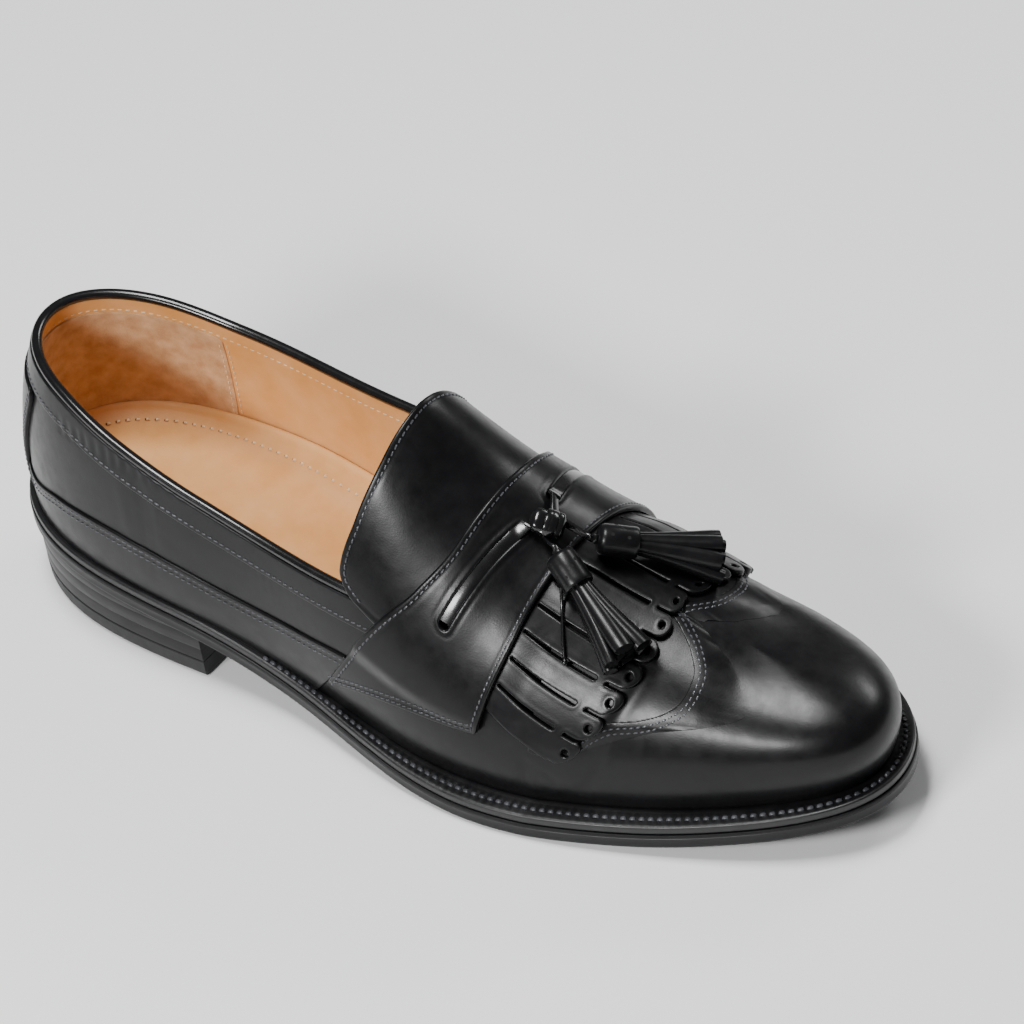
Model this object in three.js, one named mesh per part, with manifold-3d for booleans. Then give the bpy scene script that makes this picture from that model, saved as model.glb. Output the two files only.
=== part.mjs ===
import * as THREE from 'three';
import { mergeVertices } from 'three/addons/utils/BufferGeometryUtils.js';
import Module from 'manifold-3d';

// Slip-on leather shoe for the right foot: fringed flap, saddle strap and two tassels.
// Millimetres. +X points to the toe, +Z up, the outer (lateral) side faces -Y.
// The origin is on the floor, below the middle of the whole shoe.

// Driving dimensions
const SOLE_LENGTH = 304;
const BALL_WIDTH = 105.7;
const INSTEP_HEIGHT = 100;
const BACK_HEIGHT = 85;
const SEAT_HEIGHT = 22.6;
const TOE_SPRING = 11.1;
const TOE_SWING = 7.9;
const BREAST_SHARE = 0.28;
const OUTSOLE_THICKNESS = 4.8;
const WELT_THICKNESS = 2.7;
const LIFT_THICKNESS = 5.5;
const WELT_LEDGE = 8.4;
const WALL = 2.2;
const OVERLAY_LEATHER = 1.1;
const FLAP_LEATHER = 1.5;
const SADDLE_LEATHER = 1.6;
const BINDING_HEIGHT = 2.6;
const BINDING_PROUD = 0.5;
const INSOLE_THICKNESS = 3.4;
const INSOLE_CUP = 3.2;
const GAP = 0.3;
const STACK_GAP = 0.45;

// Pieces made of strips, cords and tassels
const FRINGE_STRIPS = 13;
const SLIT_WIDTH = 0.9;
const FRINGE_TIP = 4;
const LACE_WIDTH = 3.3;
const LACE_THICKNESS = 1.2;
const CAP_RADIUS = 4.7;
const CAP_LENGTH = 11.5;
const TASSEL_LENGTH = 25;
const TASSEL_RADIUS = 7.2;
const TASSEL_STRANDS = 10;

// Mesh fineness
const SIDE_COLUMNS = 34;
const WALL_ROWS = 8;

// Sole outline: share of the length, half widths as shares of half the ball width
const OUTLINE = [
  { along: 0.12, lateral: 0.681, medial: 0.657 },
  { along: 0.26, lateral: 0.749, medial: 0.710 },
  { along: 0.40, lateral: 0.776, medial: 0.696 },
  { along: 0.52, lateral: 0.920, medial: 0.804 },
  { along: 0.64, lateral: 0.988, medial: 1.012 },
  { along: 0.76, lateral: 0.868, medial: 0.959 },
  { along: 0.88, lateral: 0.643, medial: 0.800 },
];
const HEEL_ROUNDNESS = 1.253;
const TOE_ROUNDNESS = 1.188;

// Underside of the outsole: share of the length, share of the seat height
const UNDERSIDE = [
  { along: 0, rise: 1 },
  { along: 0.26, rise: 0.730 },
  { along: 0.40, rise: 0.358 },
  { along: 0.50, rise: 0.150 },
  { along: 0.57, rise: 0.035 },
  { along: 0.62, rise: 0 },
  { along: 0.69, rise: 0 },
];

// Toe spring: share of the length, share of the spring
const SPRING = [
  { along: 0.69, rise: 0 },
  { along: 0.80, rise: 0.198 },
  { along: 0.90, rise: 0.559 },
  { along: 1, rise: 1 },
];

// Sections of the last. ledge: how far the upper stands in from the sole's edge, as a share
// of the welt ledge. lean: outward slope of the wall in degrees. low: height of the upright
// part as a share of the instep height. full: how full the section is under its ridge.
const SECTIONS = [
  { along: 0.00, ledgeLateral: 0.40, ledgeMedial: 0.40, leanLateral: 4, leanMedial: 4,
    low: 0.32, fullLateral: 0.54, fullMedial: 0.54 },
  { along: 0.10, ledgeLateral: 0.36, ledgeMedial: 0.36, leanLateral: 4, leanMedial: 4,
    low: 0.34, fullLateral: 0.56, fullMedial: 0.60 },
  { along: 0.25, ledgeLateral: 0.33, ledgeMedial: 0.33, leanLateral: 4, leanMedial: 4,
    low: 0.36, fullLateral: 0.60, fullMedial: 0.74 },
  { along: 0.40, ledgeLateral: 0.45, ledgeMedial: 0.38, leanLateral: 8, leanMedial: 3,
    low: 0.34, fullLateral: 0.66, fullMedial: 0.78 },
  { along: 0.52, ledgeLateral: 0.74, ledgeMedial: 0.60, leanLateral: 14, leanMedial: 5,
    low: 0.29, fullLateral: 0.62, fullMedial: 0.66 },
  { along: 0.64, ledgeLateral: 0.98, ledgeMedial: 0.84, leanLateral: 18, leanMedial: 11,
    low: 0.22, fullLateral: 0.62, fullMedial: 0.68 },
  { along: 0.76, ledgeLateral: 1.00, ledgeMedial: 0.90, leanLateral: 18, leanMedial: 13,
    low: 0.19, fullLateral: 0.66, fullMedial: 0.80 },
  { along: 0.88, ledgeLateral: 0.96, ledgeMedial: 0.84, leanLateral: 19, leanMedial: 15,
    low: 0.22, fullLateral: 0.70, fullMedial: 0.78 },
  { along: 1.00, ledgeLateral: 0.74, ledgeMedial: 0.74, leanLateral: 24, leanMedial: 24,
    low: 0.27, fullLateral: 0.84, fullMedial: 0.84 },
];

// Ridge line over heel, instep and toes: share of the length, share of the instep height,
// sideways place as a share of the toe swing
const RIDGE = [
  { along: 0.00, height: 1.22, side: 0 },
  { along: 0.13, height: 1.22, side: 0 },
  { along: 0.30, height: 1.21, side: 0 },
  { along: 0.42, height: 1.15, side: 0.15 },
  { along: 0.50, height: 1.01, side: 0.26 },
  { along: 0.58, height: 0.81, side: 0.40 },
  { along: 0.66, height: 0.665, side: 0.58 },
  { along: 0.74, height: 0.57, side: 0.80 },
  { along: 0.80, height: 0.52, side: 0.95 },
  { along: 0.86, height: 0.475, side: 1.00 },
  { along: 1.00, height: 0.47, side: 1.00 },
];
const HEEL_PULL = 40;
const TOE_PULL = 46;
const END_SLOPE = 0.2;

// Collar rim: share of the length, height over the floor as a share of the back height
const COLLAR = [
  { along: 0.00, lateral: 1.000, medial: 1.000 },
  { along: 0.10, lateral: 0.955, medial: 0.940 },
  { along: 0.20, lateral: 0.865, medial: 0.860 },
  { along: 0.30, lateral: 0.770, medial: 0.820 },
  { along: 0.40, lateral: 0.697, medial: 0.797 },
  { along: 0.50, lateral: 0.665, medial: 0.775 },
  { along: 0.53, lateral: 0.655, medial: 0.765 },
];
const COLLAR_END = 0.53;
const THROAT = 0.60;

const HALF_LENGTH = SOLE_LENGTH / 2;
const HALF_BALL = BALL_WIDTH / 2;
const OUTSOLE_TOP = OUTSOLE_THICKNESS;
const WELT_TOP = OUTSOLE_TOP + GAP + WELT_THICKNESS;
const FEATHER = WELT_TOP + GAP;

const mix = (a, b, t) => a + (b - a) * t;
const clamp01 = (x) => Math.min(1, Math.max(0, x));
const range = (n) => Array.from({ length: n + 1 }, (_, i) => i / n);
const mirrored = (list) => [...list.slice(1).reverse().map((value) => -value), ...list];
const column = (table, name) => table.map((row) => row[name]);

// Curve through points without overshoot
function easyCurve(xs, ys) {
  const n = xs.length;
  const step = xs.slice(1).map((x, i) => x - xs[i]);
  const slope = step.map((h, i) => (ys[i + 1] - ys[i]) / h);
  const tangent = ys.map((_, i) => {
    if (i === 0 || i === n - 1) {
      return slope[i === 0 ? 0 : n - 2];
    }
    const before = slope[i - 1];
    const after = slope[i];
    if (before * after <= 0) {
      return 0;
    }
    const a = 2 * step[i] + step[i - 1];
    const b = step[i] + 2 * step[i - 1];
    return (a + b) / (a / before + b / after);
  });
  return (x) => {
    const at = Math.min(xs[n - 1], Math.max(xs[0], x));
    let i = 0;
    while (i < n - 2 && at > xs[i + 1]) {
      i += 1;
    }
    const h = step[i];
    const t = (at - xs[i]) / h;
    const keep = (1 + 2 * t) * (1 - t) ** 2;
    return keep * ys[i] + (1 - keep) * ys[i + 1]
      + h * t * (1 - t) * ((1 - t) * tangent[i] - t * tangent[i + 1]);
  };
}

// Smoothest curve through points with a given slope at each end
function smoothCurve(xs, ys, startSlope, endSlope) {
  const n = xs.length;
  const tangent = new Array(n).fill(0);
  const scale = new Array(n).fill(0);
  tangent[0] = startSlope;
  for (let i = 1; i < n - 1; i += 1) {
    const before = xs[i] - xs[i - 1];
    const after = xs[i + 1] - xs[i];
    const pull = 3 * ((ys[i] - ys[i - 1]) * after / before + (ys[i + 1] - ys[i]) * before / after);
    const weight = 2 * (before + after) - after * scale[i - 1];
    scale[i] = before / weight;
    tangent[i] = (pull - after * tangent[i - 1]) / weight;
  }
  tangent[n - 1] = endSlope;
  for (let i = n - 2; i > 0; i -= 1) {
    tangent[i] -= scale[i] * tangent[i + 1];
  }
  return (x) => {
    let i = 0;
    while (i < n - 2 && x > xs[i + 1]) {
      i += 1;
    }
    const h = xs[i + 1] - xs[i];
    const t = (x - xs[i]) / h;
    const keep = (1 + 2 * t) * (1 - t) ** 2;
    return keep * ys[i] + (1 - keep) * ys[i + 1]
      + h * t * (1 - t) * ((1 - t) * tangent[i] - t * tangent[i + 1]);
  };
}

const tableCurve = (table, name, scale = 1) =>
  easyCurve(column(table, 'along'), column(table, name).map((value) => value * scale));

// The turn runs from 0 at the back of the heel to 1 at the tip of the toe, half way round
const HALF_ROUND = Math.PI;
const turnAt = (along) => Math.acos(1 - 2 * along) / HALF_ROUND;
const alongAt = (turn) => (1 - Math.cos(HALF_ROUND * turn)) / 2;

const halfWidth = (name) => smoothCurve(
  [0, ...OUTLINE.map((row) => HALF_ROUND * turnAt(row.along)), HALF_ROUND],
  [0, ...OUTLINE.map((row) => row[name] * HALF_BALL), 0],
  HEEL_ROUNDNESS * HALF_BALL, -TOE_ROUNDNESS * HALF_BALL,
);
const lateralWidth = halfWidth('lateral');
const medialWidth = halfWidth('medial');

const underside = tableCurve(UNDERSIDE, 'rise', SEAT_HEIGHT);
const spring = tableCurve(SPRING, 'rise', TOE_SPRING);
const SWING_START = 0.45;

// Height of the outsole's underside at a place along the shoe
function soleHeight(x) {
  const along = clamp01((x + HALF_LENGTH) / SOLE_LENGTH);
  return along < SPRING[0].along ? underside(along) : spring(along);
}

// Point of the sole's outline; side is -1 on the lateral side and +1 on the medial side
function solePoint(turn, side) {
  const along = alongAt(turn);
  const width = side < 0 ? lateralWidth(HALF_ROUND * turn) : medialWidth(HALF_ROUND * turn);
  const swing = TOE_SWING * clamp01((along - SWING_START) / (1 - SWING_START)) ** 2;
  return new THREE.Vector2(-HALF_LENGTH + SOLE_LENGTH * along, side * width + swing);
}

// Direction out of the sole's outline
function soleOutward(turn, side) {
  const d = 1e-4;
  const run = solePoint(turn + d, side).sub(solePoint(turn - d, side));
  return new THREE.Vector2(-run.y * side, run.x * side).normalize();
}

// Point inside the sole's outline by an inset, at a height over the outsole's underside
function solePlace(turn, side, inset, height) {
  const outward = soleOutward(turn, side);
  const place = solePoint(turn, side).addScaledVector(outward, -inset);
  return new THREE.Vector3(place.x, place.y, soleHeight(place.x) + height);
}

const sectionCurve = (name, scale = 1) => tableCurve(SECTIONS, name, scale);
const ledge = { '-1': sectionCurve('ledgeLateral', WELT_LEDGE), 1: sectionCurve('ledgeMedial', WELT_LEDGE) };
const lean = { '-1': sectionCurve('leanLateral'), 1: sectionCurve('leanMedial') };
const full = { '-1': sectionCurve('fullLateral'), 1: sectionCurve('fullMedial') };
const low = sectionCurve('low', INSTEP_HEIGHT);
const ridgeHeight = tableCurve(RIDGE, 'height', INSTEP_HEIGHT);
const ridgeSide = tableCurve(RIDGE, 'side', TOE_SWING);
const rim = {
  '-1': tableCurve(COLLAR, 'lateral', BACK_HEIGHT),
  1: tableCurve(COLLAR, 'medial', BACK_HEIGHT),
};

// Place on the ridge line, drawn in from both ends of the shoe
function ridgeX(turn) {
  const x = -HALF_LENGTH + SOLE_LENGTH * alongAt(turn);
  const toeReach = 2 * TOE_PULL / (1 - END_SLOPE);
  const heelReach = 2 * HEEL_PULL / (1 - END_SLOPE);
  const toe = Math.max(0, x - (HALF_LENGTH - toeReach)) / toeReach;
  const heel = Math.max(0, -x - (HALF_LENGTH - heelReach)) / heelReach;
  return x - TOE_PULL * toe ** 2 + HEEL_PULL * heel ** 2;
}

// Point on the outside of the last: up is 0 at the sole and 1 on the ridge
function lastPoint(turn, up, side) {
  const along = alongAt(turn);
  const outward = soleOutward(turn, side);
  const foot = solePlace(turn, side, ledge[side](along), FEATHER);
  const x = ridgeX(turn);
  const share = (x + HALF_LENGTH) / SOLE_LENGTH;
  const d = 1e-3;
  const slope = (ridgeHeight(share + d) - ridgeHeight(share - d)) / (2 * d * SOLE_LENGTH);
  const top = new THREE.Vector3(x, ridgeSide(share), ridgeHeight(share));
  const angle = THREE.MathUtils.degToRad(lean[side](along));
  const lower = foot.clone();
  lower.x += low(along) * Math.sin(angle) * outward.x;
  lower.y += low(along) * Math.sin(angle) * outward.y;
  lower.z += low(along) * Math.cos(angle);
  const reach = full[side](along);
  const upper = top.clone();
  upper.x += reach * (foot.x - top.x);
  upper.y += reach * (foot.y - top.y);
  upper.z += reach * (foot.x - top.x) * slope;
  return new THREE.CubicBezierCurve3(foot, lower, upper, top).getPoint(up);
}

// Direction out of the last
function lastOutward(turn, up, side) {
  const d = 2e-3;
  const t = Math.min(1 - 3 * d, Math.max(3 * d, turn));
  const u = Math.min(1 - 2 * d, Math.max(2 * d, up));
  const normal = (s) => {
    const forward = lastPoint(t + d, u, s).sub(lastPoint(t - d, u, s));
    const rising = lastPoint(t, u + d, s).sub(lastPoint(t, u - d, s));
    return forward.cross(rising).multiplyScalar(-s).normalize();
  };
  const shared = up > 1 - 2 * d || turn < 3 * d || turn > 1 - 3 * d;
  return shared ? normal(-1).add(normal(1)).normalize() : normal(side);
}

// Point a given distance outside the upper's skin
const skin = (turn, up, side, lift) =>
  lastPoint(turn, up, side).addScaledVector(lastOutward(turn, up, side), lift);

// The same by share of the length and by place across: -1 lateral foot, 0 ridge, 1 medial foot
const skinAt = (along, across, lift) =>
  skin(turnAt(along), 1 - Math.abs(across), across < 0 ? -1 : 1, lift);

// How far up the last the rim lies
function rimUp(turn, side) {
  const along = alongAt(turn);
  if (along >= THROAT) {
    return 1;
  }
  const height = rim[side](Math.min(along, COLLAR_END));
  let lower = 0;
  let upper = 1;
  for (let i = 0; i < 24; i += 1) {
    const middle = (lower + upper) / 2;
    if (lastPoint(Math.min(turn, turnAt(COLLAR_END)), middle, side).z < height) {
      lower = middle;
    } else {
      upper = middle;
    }
  }
  const round = clamp01((along - COLLAR_END) / (THROAT - COLLAR_END));
  return 1 - (1 - lower) * Math.sqrt(1 - round ** 2);
}

// Closed body from a list of triangles of points
function body(triangles) {
  const positions = new Float32Array(triangles.flat().flatMap((p) => [p.x, p.y, p.z]));
  const geometry = new THREE.BufferGeometry();
  geometry.setAttribute('position', new THREE.BufferAttribute(positions, 3));
  return geometry;
}

const quad = (a, b, c, d) => [[a, b, c], [a, c, d]];

// Drops the triangles that have shrunk to a line
const sound = (triangles) => triangles.filter(([a, b, c]) =>
  a.distanceTo(b) > 2e-3 && b.distanceTo(c) > 2e-3 && c.distanceTo(a) > 2e-3);

// Triangles of a grid of points; flip turns its face over
function grid(points, flip = false) {
  const out = [];
  for (let i = 0; i < points.length - 1; i += 1) {
    for (let j = 0; j < points[i].length - 1; j += 1) {
      const corners = [points[i][j], points[i + 1][j], points[i + 1][j + 1], points[i][j + 1]];
      out.push(...quad(...(flip ? corners.reverse() : corners)));
    }
  }
  return out;
}

// Closed body between an outer and an inner grid of points; keep tells which cells are there
function shellBody(outer, inner, keep = () => true) {
  const last = outer.length - 1;
  const top = outer[0].length - 1;
  const there = (i, j) => i >= 0 && j >= 0 && i < last && j < top && keep(i, j);
  const out = [];
  const wall = (i, j, k, l) => out.push(...quad(inner[i][j], inner[k][l], outer[k][l], outer[i][j]));
  for (let i = 0; i < last; i += 1) {
    for (let j = 0; j < top; j += 1) {
      if (!there(i, j)) {
        continue;
      }
      out.push(...quad(outer[i][j], outer[i + 1][j], outer[i + 1][j + 1], outer[i][j + 1]));
      out.push(...quad(inner[i][j + 1], inner[i + 1][j + 1], inner[i + 1][j], inner[i][j]));
      if (!there(i, j - 1)) {
        wall(i, j, i + 1, j);
      }
      if (!there(i + 1, j)) {
        wall(i + 1, j, i + 1, j + 1);
      }
      if (!there(i, j + 1)) {
        wall(i + 1, j + 1, i, j + 1);
      }
      if (!there(i - 1, j)) {
        wall(i, j + 1, i, j);
      }
    }
  }
  return body(sound(out));
}

// Sheet of leather over the skin: place gives turn, up and side for two running shares
function sheet(rows, columns, place, under, over, keep) {
  const layer = (lift) => rows.map((u) => columns.map((t) => {
    const { turn, up, side } = place(u, t);
    return skin(turn, up, side, lift(u, t));
  }));
  return shellBody(layer(over), layer(under), keep);
}

const across = (along, w) => ({ turn: turnAt(along), up: 1 - Math.abs(w), side: w < 0 ? -1 : 1 });

// Stations along the two sides: lateral from heel to toe, then medial back to the heel
const evenTurns = range(SIDE_COLUMNS);
const throatTurns = [0.515, 0.53, 0.545, 0.56, 0.57, 0.58, 0.588, 0.595, THROAT].map(turnAt);
const nearThroat = (turn) => throatTurns.some((other) => Math.abs(other - turn) < 0.011);
const turns = [...evenTurns.filter((turn) => !nearThroat(turn)), ...throatTurns].sort((a, b) => a - b);
const stations = [
  ...turns.map((turn) => ({ turn, side: -1 })),
  ...turns.slice(0, -1).reverse().map((turn) => ({ turn, side: 1 })),
];

// Upper: one wall, open underneath and at the collar
function upperGeometry() {
  const rows = range(WALL_ROWS);
  const layer = (lift) => stations.map(({ turn, side }) => {
    const top = rimUp(turn, side);
    return rows.map((row) => skin(turn, row * top, side, lift));
  });
  const outer = layer(0);
  const inner = layer(-WALL);
  const triangles = [...grid(outer), ...grid(inner, true)];
  for (let i = 0; i < stations.length - 1; i += 1) {
    triangles.push(...grid([[inner[i][0], outer[i][0]], [inner[i + 1][0], outer[i + 1][0]]], false));
    const open = rimUp(stations[i].turn, stations[i].side) < 1
      || rimUp(stations[i + 1].turn, stations[i + 1].side) < 1;
    if (open) {
      const j = WALL_ROWS;
      triangles.push(...grid([[outer[i][j], inner[i][j]], [outer[i + 1][j], inner[i + 1][j]]]));
    }
  }
  return body(sound(triangles));
}

// Rings of the sole: one closed line of points at an inset and a height
const soleTurns = range(36);
const soleStations = [
  ...soleTurns.map((turn) => ({ turn, side: -1 })),
  ...soleTurns.slice(1, -1).reverse().map((turn) => ({ turn, side: 1 })),
];
const ring = (place) => soleStations.map(({ turn, side }) => place(turn, side));

// Walls between rings that lie one above the other, from the lowest up
function ringWalls(rings) {
  const out = [];
  for (let k = 0; k < rings.length - 1; k += 1) {
    const lower = rings[k];
    const upper = rings[k + 1];
    for (let i = 0; i < lower.length; i += 1) {
      const next = (i + 1) % lower.length;
      out.push(...quad(lower[i], lower[next], upper[next], upper[i]));
    }
  }
  return out;
}

// Cover of a ring, in strips from the lateral to the medial side
function cover(points, facesUp) {
  const out = [];
  const last = points.length / 2;
  for (let i = 0; i < last; i += 1) {
    const a = points[i];
    const b = points[i + 1];
    const c = points[(points.length - i - 1) % points.length];
    const d = points[(points.length - i) % points.length];
    out.push(...quad(...(facesUp ? [a, b, c, d] : [d, c, b, a])));
  }
  return sound(out);
}

function plate(rings) {
  const lowest = rings[0];
  const highest = rings[rings.length - 1];
  return body([...cover(lowest, false), ...ringWalls(rings), ...cover(highest, true)]);
}

const EDGE_ROUND = 0.7;

function outsoleGeometry() {
  const level = (inset, height) => ring((turn, side) => solePlace(turn, side, inset, height));
  return plate([
    level(EDGE_ROUND, 0),
    level(0, EDGE_ROUND),
    level(0, OUTSOLE_THICKNESS - EDGE_ROUND),
    level(EDGE_ROUND / 2, OUTSOLE_THICKNESS),
  ]);
}

// Inset of the upper's inner face
const innerInset = (turn, side) => ledge[side](alongAt(turn)) + WALL;

// Welt: a ring that carries the upper's foot, stepped in over the outsole
const WELT_STEP = 0.6;
function weltGeometry() {
  const base = OUTSOLE_TOP + GAP;
  const outside = (inset, height) => ring((turn, side) => solePlace(turn, side, inset, height));
  const inside = (height) => ring((turn, side) => solePlace(turn, side, innerInset(turn, side) - GAP, height));
  const rings = [
    inside(base),
    outside(WELT_STEP, base),
    outside(WELT_STEP, WELT_TOP - WELT_STEP),
    outside(WELT_STEP * 2, WELT_TOP),
    inside(WELT_TOP),
    inside(base),
  ];
  return body(ringWalls(rings));
}

// Cup of the insole against the wall: share of the length, shares of the cup height
const CUP = [
  { along: 0.00, lateral: 1.0, medial: 1.0 },
  { along: 0.15, lateral: 1.0, medial: 1.4 },
  { along: 0.35, lateral: 0.9, medial: 2.4 },
  { along: 0.50, lateral: 0.6, medial: 1.8 },
  { along: 0.65, lateral: 0.3, medial: 0.4 },
  { along: 1.00, lateral: 0.3, medial: 0.3 },
];
const cup = { '-1': tableCurve(CUP, 'lateral', INSOLE_CUP), 1: tableCurve(CUP, 'medial', INSOLE_CUP) };
const CUP_WIDTH = 10;

function insoleGeometry() {
  const clear = WALL + GAP;
  const foot = OUTSOLE_TOP + GAP;
  const flat = WELT_TOP + INSOLE_THICKNESS;
  const inset = (turn, side) => ledge[side](alongAt(turn)) + clear;
  const level = (extra, height) => ring((turn, side) =>
    solePlace(turn, side, inset(turn, side) + extra, height(turn, side)));
  return plate([
    level(0, () => foot),
    level(0, (turn, side) => flat + cup[side](alongAt(turn))),
    level(1, (turn, side) => flat + cup[side](alongAt(turn))),
    level(CUP_WIDTH * 0.45, (turn, side) => flat + cup[side](alongAt(turn)) * 0.35),
    level(CUP_WIDTH, () => flat),
  ]);
}

// Heel: blocks cut square at the breast
const HEEL_COLUMNS = 14;
const heelTurns = range(HEEL_COLUMNS).map((share) => share * turnAt(BREAST_SHARE));
function heelBlock(levels) {
  const rings = levels.map(({ inset, top, height }) => [
    ...heelTurns.map((turn) => ({ turn, side: -1 })).reverse(),
    ...heelTurns.slice(1).map((turn) => ({ turn, side: 1 })),
  ].map(({ turn, side }) => {
    const place = solePlace(turn, side, inset, 0);
    return new THREE.Vector3(place.x, place.y, top ? place.z - GAP : height);
  }));
  const count = rings[0].length;
  const fan = (points, facesUp) => {
    const out = [];
    for (let i = 0; i < HEEL_COLUMNS; i += 1) {
      const face = [points[i], points[i + 1], points[count - 2 - i], points[count - 1 - i]];
      out.push(...quad(...(facesUp ? face.reverse() : face)));
    }
    return sound(out);
  };
  const walls = [];
  for (let k = 0; k < rings.length - 1; k += 1) {
    for (let i = 0; i < count; i += 1) {
      const next = (i + 1) % count;
      walls.push(...quad(rings[k][next], rings[k][i], rings[k + 1][i], rings[k + 1][next]));
    }
  }
  return body([...fan(rings[0], false), ...walls, ...fan(rings[rings.length - 1], true)]);
}

const topLiftGeometry = () => heelBlock([
  { inset: 2.0, height: 0 },
  { inset: 1.4, height: EDGE_ROUND },
  { inset: 1.2, height: LIFT_THICKNESS },
]);

const STACK_BASE = LIFT_THICKNESS + GAP;
const heelStackGeometry = () => heelBlock([
  { inset: 1.3, height: STACK_BASE },
  { inset: 1.1, height: STACK_BASE + 0.7 * LIFT_THICKNESS },
  { inset: 0.9, top: true },
]);

// Tongue: a rounded flap that stands over the throat and runs under the saddle
const TONGUE_BACK = [
  { across: -0.60, along: 0.520 },
  { across: -0.585, along: 0.490 },
  { across: -0.54, along: 0.478 },
  { across: -0.40, along: 0.487 },
  { across: -0.20, along: 0.497 },
  { across: 0.00, along: 0.500 },
  { across: 0.20, along: 0.497 },
  { across: 0.40, along: 0.487 },
  { across: 0.54, along: 0.478 },
  { across: 0.585, along: 0.490 },
  { across: 0.60, along: 0.520 },
];
const edgeCurve = (table) => easyCurve(column(table, 'across'), column(table, 'along'));
const tongueBack = edgeCurve(TONGUE_BACK);

// Saddle strap: back and front edge
const SADDLE_BACK = [
  { across: -0.90, along: 0.452 },
  { across: -0.70, along: 0.499 },
  { across: -0.57, along: 0.528 },
  { across: -0.43, along: 0.557 },
  { across: -0.24, along: 0.579 },
  { across: 0.00, along: 0.585 },
  { across: 0.24, along: 0.576 },
  { across: 0.43, along: 0.555 },
  { across: 0.57, along: 0.528 },
  { across: 0.70, along: 0.499 },
  { across: 0.90, along: 0.452 },
];
const SADDLE_FRONT = [
  { across: -0.75, along: 0.638 },
  { across: -0.60, along: 0.647 },
  { across: -0.36, along: 0.660 },
  { across: 0.00, along: 0.667 },
  { across: 0.36, along: 0.660 },
  { across: 0.60, along: 0.647 },
  { across: 0.75, along: 0.638 },
];
const saddleBack = edgeCurve(SADDLE_BACK);
const saddleFront = edgeCurve(SADDLE_FRONT);

// Lower edge of the saddle: share from its back to its front edge
const SADDLE_FOOT = [
  { along: 0.00, across: 0.90 },
  { along: 0.15, across: 0.85 },
  { along: 0.50, across: 0.775 },
  { along: 1.00, across: 0.725 },
];
const saddleFoot = tableCurve(SADDLE_FOOT, 'across');

// Length of what lies hidden under the next piece, as a share of the shoe's length
const TUCK = 6 / SOLE_LENGTH;
const TONGUE_FOOT = TONGUE_BACK[TONGUE_BACK.length - 1].across;

// The tongue clears the binding, which stands a little proud of the skin
const OVER_BINDING = BINDING_PROUD + GAP;

function tonguePlace(u, t) {
  const w = TONGUE_FOOT * t;
  const front = Math.max(saddleBack(w), tongueBack(w)) + TUCK;
  return across(mix(tongueBack(w), front, u), w);
}
const tongueGeometry = () => sheet(
  range(5), mirrored([0, 0.13, 0.26, 0.39, 0.52, 0.65, 0.78, 0.87, 0.93, 0.97, 0.99, 1]),
  tonguePlace, () => OVER_BINDING, () => OVER_BINDING + FLAP_LEATHER,
);

// How high the saddle rides over the tongue at its back and the fringed flap at its front. It
// comes down from there between two shares of its length, and to the vamp at its feet.
const OVER_TONGUE = OVER_BINDING + FLAP_LEATHER + STACK_GAP;
const OVER_FLAP = GAP + FLAP_LEATHER + STACK_GAP;
const FOOT_CLEAR = 0.55;
const STEP_DOWN = { start: 0.3, end: 0.7 };
const FOOT_FALL = { start: 0.675, end: 0.745 };
const soft = (x) => clamp01(x) ** 2 * (3 - 2 * clamp01(x));
function saddleUnder(u, t) {
  const w = saddleFoot(u) * Math.abs(t);
  const down = soft((u - STEP_DOWN.start) / (STEP_DOWN.end - STEP_DOWN.start));
  const inside = soft((FOOT_FALL.end - w) / (FOOT_FALL.end - FOOT_FALL.start));
  return mix(FOOT_CLEAR, mix(OVER_TONGUE, OVER_FLAP, down), inside);
}
function saddlePlace(u, t) {
  const w = saddleFoot(u) * t;
  return across(mix(saddleBack(w), saddleFront(w), u), w);
}

// Slots of the saddle: each runs down one side, with round ends
const SLOTS = {
  lateral: { from: { along: 0.590, across: -0.465 }, to: { along: 0.620, across: -0.09 } },
  medial: { from: { along: 0.620, across: 0.06 }, to: { along: 0.590, across: 0.465 } },
};
const SLOT_ROUND = 0.035;
const SLOT_COLUMNS = [0, 0.012, 0.04, 0.1, 0.25, 0.4, 0.55, 0.7, 0.85, 0.92, 0.97, 1];
function slotPlace(slot) {
  const roundEnd = SLOT_ROUND / Math.abs(slot.to.across - slot.from.across);
  const half = (LACE_WIDTH / 2 + STACK_GAP) / SOLE_LENGTH;
  return (u, t) => {
    const end = Math.min(clamp01(t / roundEnd), clamp01((1 - t) / roundEnd));
    const wide = half * Math.sqrt(Math.max(0.02, 1 - (1 - end) ** 2));
    return across(
      mix(slot.from.along, slot.to.along, t) + (2 * u - 1) * wide,
      mix(slot.from.across, slot.to.across, t),
    );
  };
}

// Closed body along a path of points over the skin, with a section of given half sizes
function ribbon(path, steps, halfWide, halfThick, sides = 4) {
  const curve = new THREE.CatmullRomCurve3(path.map(({ along, across: w, lift }) => skinAt(along, w, lift)));
  const ups = new THREE.CatmullRomCurve3(path.map(({ along, across: w }) =>
    lastOutward(turnAt(along), 1 - Math.abs(w), w < 0 ? -1 : 1)));
  const rings = range(steps).map((share) => {
    const centre = curve.getPoint(share);
    const forward = curve.getTangent(share);
    const wide = forward.clone().cross(ups.getPoint(share)).normalize();
    const thick = wide.clone().cross(forward).normalize();
    const corner = sides === 4 ? Math.SQRT2 : 1;
    return section(centre, thick, wide, halfThick * corner, halfWide * corner, sides, Math.PI / 4);
  });
  return tubeBody(rings);
}

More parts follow.
